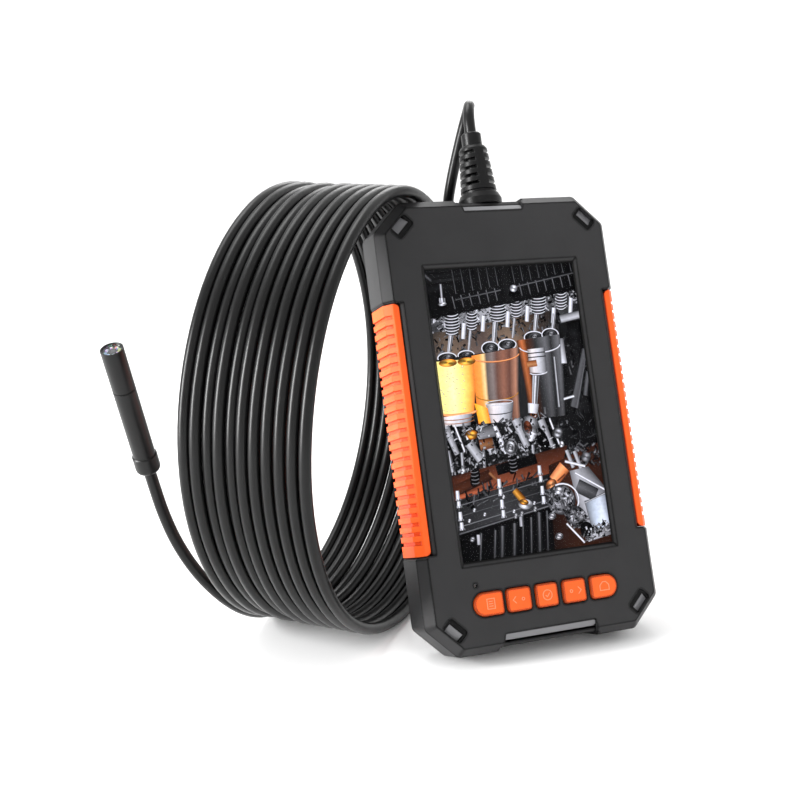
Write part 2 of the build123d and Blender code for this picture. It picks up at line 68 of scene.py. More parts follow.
class Signal:
    """One output socket of a material, with arithmetic that adds Math nodes."""

    def __init__(self, graph: "Graph", socket: bpy.types.NodeSocket) -> None:
        """Wraps a socket of a graph."""
        self.graph = graph
        self.socket = socket

    def _maths(self, operation: str, first: Any, second: Any = 0.0) -> "Signal":
        """One Math node on two values."""
        return self.graph.add("ShaderNodeMath", {"operation": operation}, {0: first, 1: second})

    def __add__(self, other: Any) -> "Signal":
        """Sum."""
        return self._maths("ADD", self, other)

    def __radd__(self, other: Any) -> "Signal":
        """Sum, reflected."""
        return self._maths("ADD", other, self)

    def __sub__(self, other: Any) -> "Signal":
        """Difference."""
        return self._maths("SUBTRACT", self, other)

    def __rsub__(self, other: Any) -> "Signal":
        """Difference, reflected."""
        return self._maths("SUBTRACT", other, self)

    def __mul__(self, other: Any) -> "Signal":
        """Product."""
        return self._maths("MULTIPLY", self, other)

    def __rmul__(self, other: Any) -> "Signal":
        """Product, reflected."""
        return self._maths("MULTIPLY", other, self)

    def __pow__(self, other: float) -> "Signal":
        """Power."""
        return self._maths("POWER", self, other)

    def limited(self) -> "Signal":
        """The value kept between 0 and 1."""
        return self._maths("MINIMUM", self._maths("MAXIMUM", self, 0.0), 1.0)

    def above(self, threshold: float) -> "Signal":
        """1 where the value is above a threshold, otherwise 0."""
        return self._maths("GREATER_THAN", self, threshold)

    def other(self, name: str) -> "Signal":
        """Another output of the same node."""
        return Signal(self.graph, self.socket.node.outputs[name])


class Graph:
    """The node tree of one material."""

    EDGE_GAIN = 140.0
    BEVEL_SAMPLES = 4

    def __init__(self, name: str) -> None:
        """Starts an empty material.

        Args:
            name: The material's name.
        """
        self.material = bpy.data.materials.new(name)
        self.material.use_nodes = True
        self.tree = self.material.node_tree
        self.tree.nodes.clear()

    def add(
        self,
        kind: str,
        settings: Mapping[str, Any] | None = None,
        sockets: Mapping[str | int, Any] | None = None,
        output: str | int = 0,
    ) -> Signal:
        """Adds a node, sets it up and fills its sockets.

        Args:
            kind: The node's type.
            settings: Its settings, set first; "stops" holds a ramp's positions and colours.
            sockets: Values or signals for its input sockets, by name or number.
            output: The output that the returned signal stands for.

        Returns:
            The chosen output as a signal.
        """
        node = self.tree.nodes.new(kind)
        for name, value in (settings or {}).items():
            if name == "stops":
                self._fill_ramp(node, value)
            else:
                setattr(node, name, value)
        for key, value in (sockets or {}).items():
            if isinstance(value, Signal):
                self.tree.links.new(value.socket, node.inputs[key])
            else:
                node.inputs[key].default_value = value
        return Signal(self, node.outputs[output]) if len(node.outputs) else None

    @staticmethod
    def _fill_ramp(node: bpy.types.Node, stops: Sequence[tuple[float, Colour]]) -> None:
        """Gives a colour ramp its stops.

        Args:
            node: The ramp's node.
            stops: Positions from 0 to 1 and their colours.
        """
        elements = node.color_ramp.elements
        while len(elements) < len(stops):
            elements.new(1.0)
        for element, (place, colour) in zip(elements, stops):
            element.position = place
            element.color = (*colour, 1.0)

    def coords(self, scale: Point = (1.0, 1.0, 1.0)) -> Signal:
        """Places on the piece, in millimetres, stretched by a scale.

        Args:
            scale: How much each direction is stretched.

        Returns:
            The places as a signal.
        """
        place = self.add("ShaderNodeTexCoord", output="Object")
        stretch = tuple(s / MM for s in scale)
        return self.add("ShaderNodeVectorMath", {"operation": "MULTIPLY"}, {0: place, 1: stretch})

    def noise(self, size: float, detail: float = 2.0, scale: Point = (1.0, 1.0, 1.0)) -> Signal:
        """Soft noise with features of about a size in millimetres."""
        sockets = {"Vector": self.coords(scale), "Scale": 1.0 / size, "Detail": detail}
        return self.add("ShaderNodeTexNoise", {}, sockets)

    def cells(self, size: float) -> Signal:
        """Distance to the nearest of scattered points about a size apart, in millimetres."""
        sockets = {"Vector": self.coords(), "Scale": 1.0 / size}
        return self.add("ShaderNodeTexVoronoi", {"feature": "F1"}, sockets)

    def mix(self, share: Any, first: Any, second: Any) -> Signal:
        """Blends two colours by a share from 0 to 1.

        Args:
            share: The share of the second colour, from 0 to 1.
            first: The first colour.
            second: The second colour.

        Returns:
            The blended colour.
        """
        pair = [c if isinstance(c, Signal) else (*c, 1.0) for c in (first, second)]
        sockets = {0: share, 6: pair[0], 7: pair[1]}
        return self.add("ShaderNodeMix", {"data_type": "RGBA"}, sockets, output=2)

    def softened(self, radius: float) -> Signal:
        """The surface direction with edges rounded by a radius in millimetres."""
        return self.add("ShaderNodeBevel", {"samples": self.BEVEL_SAMPLES}, {"Radius": radius * MM})

    def edges(self, radius: float) -> Signal:
        """A mask that is 1 on sharp edges and 0 on flat stretches.

        Args:
            radius: How wide the mask reaches, in millimetres.

        Returns:
            The mask.
        """
        plain = self.add("ShaderNodeNewGeometry", output="Normal")
        sockets = {0: self.softened(radius), 1: plain}
        match = self.add("ShaderNodeVectorMath", {"operation": "DOT_PRODUCT"}, sockets, "Value")
        return ((1.0 - match) * self.EDGE_GAIN).limited()

    def bump(self, height: Signal, depth: float, normal: Signal | None = None) -> Signal:
        """The surface direction over a relief of a depth in millimetres.

        Args:
            height: The relief.
            depth: How deep it is, in millimetres.
            normal: The direction it starts from, if not the surface's own.

        Returns:
            The new direction.
        """
        sockets = {"Height": height, "Distance": depth * MM, "Strength": 1.0}
        if normal is not None:
            sockets["Normal"] = normal
        return self.add("ShaderNodeBump", {}, sockets)

    def close(self, **sockets: Any) -> bpy.types.Material:
        """Adds the shader and the material's output.

        Args:
            sockets: The shader's sockets, with underscores for spaces.

        Returns:
            The finished material.
        """
        named = {name.replace("_", " "): value for name, value in sockets.items()}
        for name in ("Base Color", "Emission Color"):
            if name in named and not isinstance(named[name], Signal):
                named[name] = (*named[name], 1.0)
        shader = self.add("ShaderNodeBsdfPrincipled", {}, named)
        self.add("ShaderNodeOutputMaterial", {}, {"Surface": shader})
        return self.material


@dataclass(frozen=True)
class Finish:
    """A finish that makes its material once."""

    name: str
    colour: Colour

    def material(self) -> bpy.types.Material:
        """The material, made at its first use."""
        found = bpy.data.materials.get(self.name)
        return found or self.dress(Graph(self.name))

    def dress(self, graph: Graph) -> bpy.types.Material:
        """Fills the material's graph; each kind of finish has its own."""
        raise NotImplementedError


@dataclass(frozen=True)
class Moulded(Finish):
    """Moulded plastic with a fine eroded grain and painted shade: thin dark lines along its edges."""

    roughness: float = 0.5
    grain: float = 0.22
    depth: float = 0.012
    # line: strength of the painted shade drawn as dark lines along edges and creases
    line: float = 0.0
    rounding: float = 0.25
    shine: float = 0.5
    edge_shade_width: float = 1.0
    edge_shade_darkness: float = 0.06
    mottle_shades: Flat = (0.9, 1.12)

    def dress(self, graph: Graph) -> bpy.types.Material:
        """Grain, faint mottling, polished spots and painted edge shade.

        Args:
            graph: The material's graph, still empty.

        Returns:
            The finished material.
        """
        base = linear(self.colour)
        mottle = graph.noise(9.0, 3.0)
        grain = graph.noise(self.grain, 1.0)
        darker, lighter = (tuple(c * shade for c in base) for shade in self.mottle_shades)
        colour = graph.mix(mottle, darker, lighter)
        # Painted shade: the edge mask darkens the colour along sharp edges and creases
        if self.line > 0:
            drawn = graph.edges(self.edge_shade_width) * self.line
            colour = graph.mix(drawn, colour, tuple(c * self.edge_shade_darkness for c in base))
        return graph.close(
            Base_Color=colour,
            Roughness=self.roughness + (mottle - 0.5) * 0.12 + (grain - 0.5) * 0.1,
            Specular_IOR_Level=self.shine,
            Normal=graph.bump(grain, self.depth, graph.softened(self.rounding)),
        )


@dataclass(frozen=True)
class SoftGrip(Finish):
    """Soft-touch rubber with painted shade: deeper in colour inside its grooves."""

    groove_shade: Colour = (0.88, 0.2, 0.05)
    groove_shade_reach: float = 1.4
    roughness: float = 0.46

    def dress(self, graph: Graph) -> bpy.types.Material:
        """Painted shade in the grooves, fine skin and a few worn specks.

        Args:
            graph: The material's graph, still empty.

        Returns:
            The finished material.
        """
        reach = {"Distance": self.groove_shade_reach * MM}
        # Painted shade: ambient occlusion darkens the grooves towards the groove shade colour
        ao_unshaded_share = graph.add("ShaderNodeAmbientOcclusion", {"samples": 6}, reach, "AO")
        skin = graph.noise(0.16, 1.0)
        patch = graph.noise(5.0, 3.0)
        top = linear(self.colour)
        colour = graph.mix((ao_unshaded_share ** 1.6).limited(), linear(self.groove_shade), top)
        colour = graph.mix(patch * 0.18, colour, tuple(min(1.0, c * 1.25) for c in top))
        return graph.close(
            Base_Color=colour,
            Roughness=self.roughness + (patch - 0.5) * 0.15,
            Specular_IOR_Level=0.2,
            Normal=graph.bump(skin, 0.01, graph.softened(0.22)),
        )


@dataclass(frozen=True)
class SoftRubberBoot(Finish):
    """Satin black rubber with a faint bloom."""

    def dress(self, graph: Graph) -> bpy.types.Material:
        """Bloom in broad patches over a fine skin.

        Args:
            graph: The material's graph, still empty.

        Returns:
            The finished material.
        """
        bloom = graph.noise(4.0, 3.0)
        skin = graph.noise(0.14, 1.0)
        base = linear(self.colour)
        return graph.close(
            Base_Color=graph.mix(bloom, base, tuple(c * 1.7 for c in base)),
            Roughness=0.26 + bloom * 0.16,
            Specular_IOR_Level=0.2,
            Normal=graph.bump(skin, 0.008, graph.softened(0.25)),
        )


@dataclass(frozen=True)
class Jacket(Finish):
    """Glossy extruded cable jacket with a faint waviness and smudges."""

    roughness: float = 0.26

    def dress(self, graph: Graph) -> bpy.types.Material:
        """Smudges that dull the gloss and a faint waviness.

        Args:
            graph: The material's graph, still empty.

        Returns:
            The finished material.
        """
        smudge = graph.noise(7.0, 4.0)
        wave = graph.noise(2.4, 1.0)
        base = linear(self.colour)
        return graph.close(
            Base_Color=graph.mix(smudge, tuple(c * 0.8 for c in base), tuple(c * 1.5 for c in base)),
            Roughness=self.roughness + smudge * 0.1,
            Specular_IOR_Level=0.26,
            Normal=graph.bump(wave, 0.03),
        )


@dataclass(frozen=True)
class Metal(Finish):
    """Metal with fine machining lines across one direction."""

    roughness: float = 0.3
    metallic: float = 1.0
    lines: Point = (0.15, 1.0, 1.0)
    shine: float = 0.5

    def dress(self, graph: Graph) -> bpy.types.Material:
        """Stretched noise for the lines and a cloudy tarnish.

        Args:
            graph: The material's graph, still empty.

        Returns:
            The finished material.
        """
        lines = graph.noise(0.12, 2.0, self.lines)
        tarnish = graph.noise(3.0, 3.0)
        base = linear(self.colour)
        return graph.close(
            Base_Color=graph.mix(tarnish, tuple(c * 0.82 for c in base), base),
            Metallic=self.metallic,
            Specular_IOR_Level=self.shine,
            Roughness=self.roughness + (lines - 0.5) * 0.25 + tarnish * 0.08,
            Normal=graph.bump(lines, 0.004, graph.softened(0.1)),
        )


@dataclass(frozen=True)
class Glazing(Finish):
    """Clear glass or acrylic, with the faintest of smears."""

    ior: float = 1.45
    shine: float = 0.5

    def dress(self, graph: Graph) -> bpy.types.Material:
        """Clear, with smears in the gloss.

        Args:
            graph: The material's graph, still empty.

        Returns:
            The finished material.
        """
        smear = graph.noise(12.0, 3.0, (1.0, 1.0, 0.3))
        return graph.close(
            Base_Color=linear(self.colour),
            Transmission_Weight=1.0,
            IOR=self.ior,
            Specular_IOR_Level=self.shine,
            Roughness=(smear - 0.55).limited() * 0.06,
        )


@dataclass(frozen=True)
class Circuit(Finish):
    """Solder mask over copper tracks."""

    track: Colour = (0.1, 0.42, 0.2)

    def dress(self, graph: Graph) -> bpy.types.Material:
        """Square-cornered tracks and round pads under a glossy mask.

        Args:
            graph: The material's graph, still empty.

        Returns:
            The finished material.
        """
        sockets = {"Vector": graph.coords(), "Scale": 1.0 / 1.6}
        settings = {"feature": "DISTANCE_TO_EDGE", "distance": "EUCLIDEAN"}
        tracks = 1.0 - graph.add("ShaderNodeTexVoronoi", settings, sockets).above(0.07)
        pads = 1.0 - graph.cells(2.3).above(0.16)
        colour = graph.mix(tracks, linear(self.colour), linear(self.track))
        colour = graph.mix(pads, colour, linear((0.8, 0.76, 0.6)))
        return graph.close(
            Base_Color=colour,
            Metallic=pads * 0.8,
            Roughness=0.32 + tracks * 0.08,
            Normal=graph.bump(tracks + pads, 0.03),
        )


@dataclass(frozen=True)
class Ribbon(Finish):
    """Amber film with copper conductors side by side."""

    def dress(self, graph: Graph) -> bpy.types.Material:
        """Conductors as a fine wave across the ribbon.

        Args:
            graph: The material's graph, still empty.

        Returns:
            The finished material.
        """
        settings = {"wave_type": "BANDS", "bands_direction": "X"}
        stripes = graph.add("ShaderNodeTexWave", settings, {"Vector": graph.coords(), "Scale": 0.55})
        line = stripes.other("Fac").above(0.5)
        return graph.close(
            Base_Color=graph.mix(line, linear(self.colour), linear((0.72, 0.4, 0.16))),
            Metallic=line * 0.6,
            Roughness=0.3 + line * 0.1,
        )


@dataclass(frozen=True)
class Foil(Finish):
    """Crinkled aluminium foil over a soft cell."""

    def dress(self, graph: Graph) -> bpy.types.Material:
        """Crinkles as a relief and a broken sheen.

        Args:
            graph: The material's graph, still empty.

        Returns:
            The finished material.
        """
        crinkle = graph.cells(4.0)
        fine = graph.noise(0.5, 3.0)
        return graph.close(
            Base_Color=graph.mix(fine, linear(self.colour), linear((0.86, 0.87, 0.9))),
            Metallic=1.0,
            Roughness=0.28 + fine * 0.2,
            Normal=graph.bump(crinkle + fine * 0.2, 0.12),
        )


@dataclass(frozen=True)
class Lamp(Finish):
    """A tiny light-emitting chip with its phosphor patch."""

    glow: float = 0.6

    def dress(self, graph: Graph) -> bpy.types.Material:
        """Phosphor grain that also glows a little.

        Args:
            graph: The material's graph, still empty.

        Returns:
            The finished material.
        """
        grain = graph.cells(0.25)
        hues = graph.cells(1.1).other("Color")
        base = linear(self.colour)
        colour = graph.mix(grain.limited(), base, tuple(c * 0.5 for c in base))
        return graph.close(
            Base_Color=graph.mix(0.6, colour, hues),
            Emission_Color=graph.mix(0.75, colour, hues),
            Emission_Strength=self.glow,
            Roughness=0.35 + grain.limited() * 0.2,
        )


@dataclass(frozen=True)
class LitPicture(Finish):
    """The lit picture elements of the display, coloured piece by piece."""

    attribute: str = "Picture"
    power: float = 1.0
    gains: Flat = (0.8, 1.25)

    def dress(self, graph: Graph) -> bpy.types.Material:
        """The drawn colours, broken up by a fine machined sparkle.

        Args:
            graph: The material's graph, still empty.

        Returns:
            The finished material.
        """
        drawn = graph.add("ShaderNodeVertexColor", {"layer_name": self.attribute})
        sparkle = graph.noise(1.0, 3.0)
        deep, bright = (
            graph.add("ShaderNodeVectorMath", {"operation": "MULTIPLY"}, {0: drawn, 1: (gain, gain, gain)})
            for gain in self.gains
        )
        return graph.close(
            Base_Color=(0.004, 0.004, 0.005),
            Emission_Color=graph.mix(sparkle, deep, bright),
            Emission_Strength=self.power,
            Roughness=0.5,
            Specular_IOR_Level=0.0,
        )


@dataclass(frozen=True)
class Paper(Finish):
    """Plain pale backdrop paper."""

    def dress(self, graph: Graph) -> bpy.types.Material:
        """Even paper with a trace of fibre.

        Args:
            graph: The material's graph, still empty.

        Returns:
            The finished material.
        """
        fibre = graph.noise(0.8, 2.0)
        base = linear(self.colour)
        return graph.close(
            Base_Color=graph.mix(fibre, tuple(c * 0.985 for c in base), base),
            Roughness=0.9 + fibre * 0.05,
            Specular_IOR_Level=0.1,
        )


# --- shared sizes and mesh helpers -----------------------------------------------------------


@dataclass(frozen=True)
class Stand:
    """Where the leaning handset stands, so that pieces can be drawn on it upright."""

    lean_deg: float = 21.3
    shift: float = 9.905
    height: float = 77.3706

    def matrix(self) -> Matrix:
        """From the handset's own millimetres to the frame's metres."""
        move = Matrix.Translation((0.0, -self.shift * MM, self.height * MM))
        return move @ Matrix.Rotation(math.radians(-self.lean_deg), 4, "X") @ Matrix.Scale(MM, 4)


STAND = Stand().matrix()


def mesh_piece(
    name: str, points: Sequence[Point], faces: Sequence[Sequence[int]], finish: Finish
) -> bpy.types.Object:
    """Makes one piece from points in the handset's own millimetres.

    Args:
        name: The piece's name.
        points: Its corners.
        faces: Corner numbers of each face.
        finish: What it is finished in.

    Returns:
        The new object, in the frame's metres.
    """
    mesh = bpy.data.meshes.new(name)
    mesh.from_pydata([STAND @ Vector(p) for p in points], [], [list(f) for f in faces])
    mesh.materials.append(finish.material())
    piece = bpy.data.objects.new(name, mesh)
    bpy.context.scene.collection.objects.link(piece)
    return piece


def tidy_normals(piece: bpy.types.Object) -> None:
    """Makes all the faces of a closed mesh look outwards.

    Args:
        piece: The mesh piece.
    """
    work = bmesh.new()
    work.from_mesh(piece.data)
    bmesh.ops.recalc_face_normals(work, faces=work.faces)
    work.to_mesh(piece.data)
    work.free()


# --- the camera cable ------------------------------------------------------------------------


@dataclass
class CameraCable:
    """The camera cable: out of the boot, round the coil and up to the probe head."""

    diameter: float = 3.9
    top_route: tuple[Point, ...] = (
        (0.0, 33.91, 163.33),
        (0.0, 35.84, 168.27),
        (1.6, 39.6, 171.8),
        (4.0, 44.4, 172.8),
        (5.4, 48.8, 170.6),
        (4.8, 51.4, 164.6),
        (3.0, 52.2, 156.0),
        (0.8, 52.2, 146.4),
        (-0.4, 53.4, 136.0),
        (3.6, 55.8, 124.5),
    )
    probe_route: tuple[Point, ...] = (
        (-79.3, 22.9, 3.6),
        (-86.4, 14.6, 8.2),
        (-94.0, 8.9, 14.4),
        (-101.1, 5.7, 22.3),
        (-107.0, 4.3, 30.5),
        (-112.0, 5.2, 39.6),
        (-115.4, 8.2, 49.2),
        (-117.6, 9.65, 58.3),
        (-119.1, 7.9, 63.8),
    )
    coil_centre: Point = (-48.3, 23.4, 74.3)
    coil_yaw: float = -43.3
    coil_half: float = 19.8
    turn_radius: float = 72.4
    first_radius: float = 76.0
    turns: float = 11.35
    start_angle: float = 28.0
    points_per_turn: int = 16
    still_share: float = 0.62
    pitches: tuple[float, ...] = (3.95, 4.0, 4.0, 4.0, 4.0, 3.9, 3.7, 4.0, 3.7, 3.75, 3.6)
    sunk_turns: tuple[int, ...] = (6, 8)
    sink: float = 1.0
    sink_middle: float = 0.58
    sink_reach: float = 0.7
    sink_flatness: float = 0.6
    settle_turns: float = 0.3
    wander: float = 0.12
    seed: int = 7
    steps_between_points: int = 6
    roundness: int = 5
    length: float = 5.3

    def _offset(self, turned: float) -> float:
        """Where the cable lies along the coil's axis, in millimetres from its middle.

        Args:
            turned: How many turns have passed.

        Returns:
            The distance from the coil's middle.
        """
        lap = min(int(turned), len(self.pitches) - 1)
        share = (turned - lap - self.still_share) / (1.0 - self.still_share)
        eased = max(0.0, min(1.0, share))
        eased = eased * eased * (3.0 - 2.0 * eased)
        moved = sum(self.pitches[:lap]) + self.pitches[lap] * eased
        return self.coil_half * (1.0 - 2.0 * moved / sum(self.pitches[:-1]))

    def _sunk(self, turned: float) -> float:
        """How far a turn lies below its close neighbours, where it crosses the near side.

        Args:
            turned: How many turns have passed.

        Returns:
            The depth, in millimetres.
        """
        away = min(abs(turned - lap - self.sink_middle) for lap in self.sunk_turns)
        faded = math.cos(min(1.0, away / self.sink_reach) * math.pi / 2)
        return self.sink * max(0.0, faded) ** self.sink_flatness

    def coil_points(self) -> list[Point]:
        """The route round the coil, from its handset end to its probe end.

        Returns:
            Points along the route, in millimetres.
        """
        yaw = math.radians(self.coil_yaw)
        axis = Vector((math.cos(yaw), math.sin(yaw), 0.0))
        far = Vector((-math.sin(yaw), math.cos(yaw), 0.0))
        centre = Vector(self.coil_centre)
        inside = (6 + 2 * math.cos(2 * math.pi / self.points_per_turn)) / 8
        chance = random.Random(self.seed)
        points = []
        count = round(self.turns * self.points_per_turn)
        for step in range(count + 1):
            turned = step * self.turns / count
            angle = math.radians(self.start_angle) - 2 * math.pi * turned
            settle = max(0.0, 1.0 - turned / self.settle_turns) ** 2
            radius = self.turn_radius + (self.first_radius - self.turn_radius) * settle
            radius = radius - self._sunk(turned) + chance.uniform(-self.wander, self.wander)
            ring = far * math.cos(angle) + Vector((0, 0, math.sin(angle)))
            points.append(tuple(centre + axis * self._offset(turned) + ring * (radius / inside)))
        return points

    def make(self, finish: Finish) -> bpy.types.Object:
        """Args:
            finish: What the jacket is finished in.

        Returns:
            The cable's curve.
        """
        route = [*self.top_route, *self.coil_points(), *self.probe_route]
        curve = bpy.data.curves.new("camera_cable", "CURVE")
        curve.dimensions = "3D"
        spline = curve.splines.new("NURBS")
        spline.points.add(len(route) - 1)
        for point, place in zip(spline.points, route):
            point.co = (*(c * MM for c in place), 1.0)
        spline.order_u = 3
        spline.use_endpoint_u = True
        curve.resolution_u = self.steps_between_points
        curve.bevel_depth = self.diameter / 2 * MM
        curve.bevel_resolution = self.roundness
        curve.use_fill_caps = True
        curve.materials.append(finish.material())
        cable = bpy.data.objects.new("camera_cable", curve)
        bpy.context.scene.collection.objects.link(cable)
        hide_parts("cable_top", "cable_coil", "cable_end")
        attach(cable, "handset")
        log.info("camera cable: %d route points", len(route))
        return cable


# --- the picture on the display --------------------------------------------------------------


def grey(value: float, warm: float = 0.0) -> Colour:
    """A grey, a little blue, or warmer by a share."""
    return (value * (0.97 + warm * 0.4), value * 0.97, value * (1.03 - warm * 0.3))


class Tone(Enum):
    """Colours across a drawn bar, disc or patch, from one side to the other."""

    CHROME = ((0, grey(0.1)), (0.14, grey(0.8)), (0.3, grey(0.35)), (0.45, grey(0.97)), (0.62, grey(0.5)),
              (0.8, grey(0.16)), (0.93, grey(0.6)), (1, grey(0.1)))
    STEEL = ((0, grey(0.12)), (0.25, grey(0.62)), (0.45, grey(0.78)), (0.7, grey(0.36)), (1, grey(0.1)))
    BRIGHT = ((0, grey(0.55)), (0.3, grey(0.95)), (0.6, grey(0.86)), (1, grey(0.5)))
    SHADE = ((0, grey(0.16)), (0.5, grey(0.3)), (1, grey(0.1)))
    RUBBER = ((0, grey(0.04)), (0.45, grey(0.09)), (1, grey(0.03)))
    RIB = ((0, grey(0.03)), (0.35, grey(0.42)), (0.65, grey(0.3)), (1, grey(0.02)))
    BLACK = ((0, grey(0.02)), (1, grey(0.02)))
    COLUMN = ((0, grey(0.03)), (0.3, grey(0.09)), (0.55, grey(0.36)), (0.75, grey(0.12)), (1, grey(0.03)))
    GLOW = ((0, (0.97, 0.9, 0.56)), (0.2, (0.98, 0.92, 0.58)), (0.45, (0.98, 0.95, 0.7)),
            (0.7, (0.97, 0.88, 0.5)), (0.88, (0.94, 0.7, 0.32)), (1, (0.86, 0.46, 0.2)))
    SPARK = ((0, (0.99, 0.95, 0.68)), (0.5, (1.0, 0.98, 0.8)), (1, (0.98, 0.92, 0.6)))
    COPPER = ((0, (0.9, 0.5, 0.2)), (0.16, (0.98, 0.62, 0.3)), (0.24, (1.0, 0.83, 0.6)),
              (0.3, grey(0.34, 0.3)), (0.42, (0.5, 0.45, 0.45)), (0.52, (0.4, 0.28, 0.25)),
              (0.66, (0.55, 0.37, 0.31)), (0.8, (0.38, 0.25, 0.22)), (0.93, (0.68, 0.48, 0.4)),
              (1, grey(0.2)))
    LINER = ((0, (0.2, 0.12, 0.1)), (0.1, (0.75, 0.42, 0.25)), (0.2, (0.3, 0.16, 0.1)), (0.4, grey(0.18)),
             (0.62, grey(0.4)), (0.75, grey(0.16)), (0.92, grey(0.42)), (1, grey(0.08)))
    ORANGE = ((0, (0.72, 0.4, 0.25)), (0.4, (0.95, 0.66, 0.45)), (0.7, (0.85, 0.5, 0.3)),
              (1, (0.4, 0.2, 0.12)))
    BRASS = ((0, (0.35, 0.2, 0.05)), (0.4, (0.85, 0.6, 0.25)), (0.7, (0.6, 0.36, 0.1)), (1, (0.2, 0.1, 0.04)))
    HAZE = ((0, grey(0.3)), (0.15, (0.62, 0.52, 0.45)), (0.4, (0.5, 0.42, 0.4)), (0.6, (0.72, 0.6, 0.52)),
            (0.8, (0.42, 0.34, 0.3)), (1, grey(0.22)))
    FLAME = ((0, (0.98, 0.66, 0.15)), (0.5, (1.0, 0.8, 0.35)), (1, (0.93, 0.5, 0.15)))
    PISTON = ((0, grey(0.5, 0.2)), (0.25, grey(0.9, 0.1)), (0.6, grey(0.82)), (0.85, grey(0.6)),
              (1, grey(0.3)))
    CASTING = ((0, grey(0.5)), (0.3, grey(0.75)), (0.65, grey(0.6)), (1, grey(0.26)))
    BELT = ((0, grey(0.12)), (0.2, grey(0.34)), (0.7, grey(0.28)), (0.85, grey(0.4)), (1, grey(0.08)))
    EARTH = ((0, (0.22, 0.11, 0.08)), (0.4, (0.42, 0.22, 0.15)), (1, (0.3, 0.15, 0.1)))
    BLUE = ((0, grey(0.35)), (0.4, (0.72, 0.76, 0.84)), (0.7, (0.8, 0.83, 0.9)), (1, (0.45, 0.48, 0.55)))


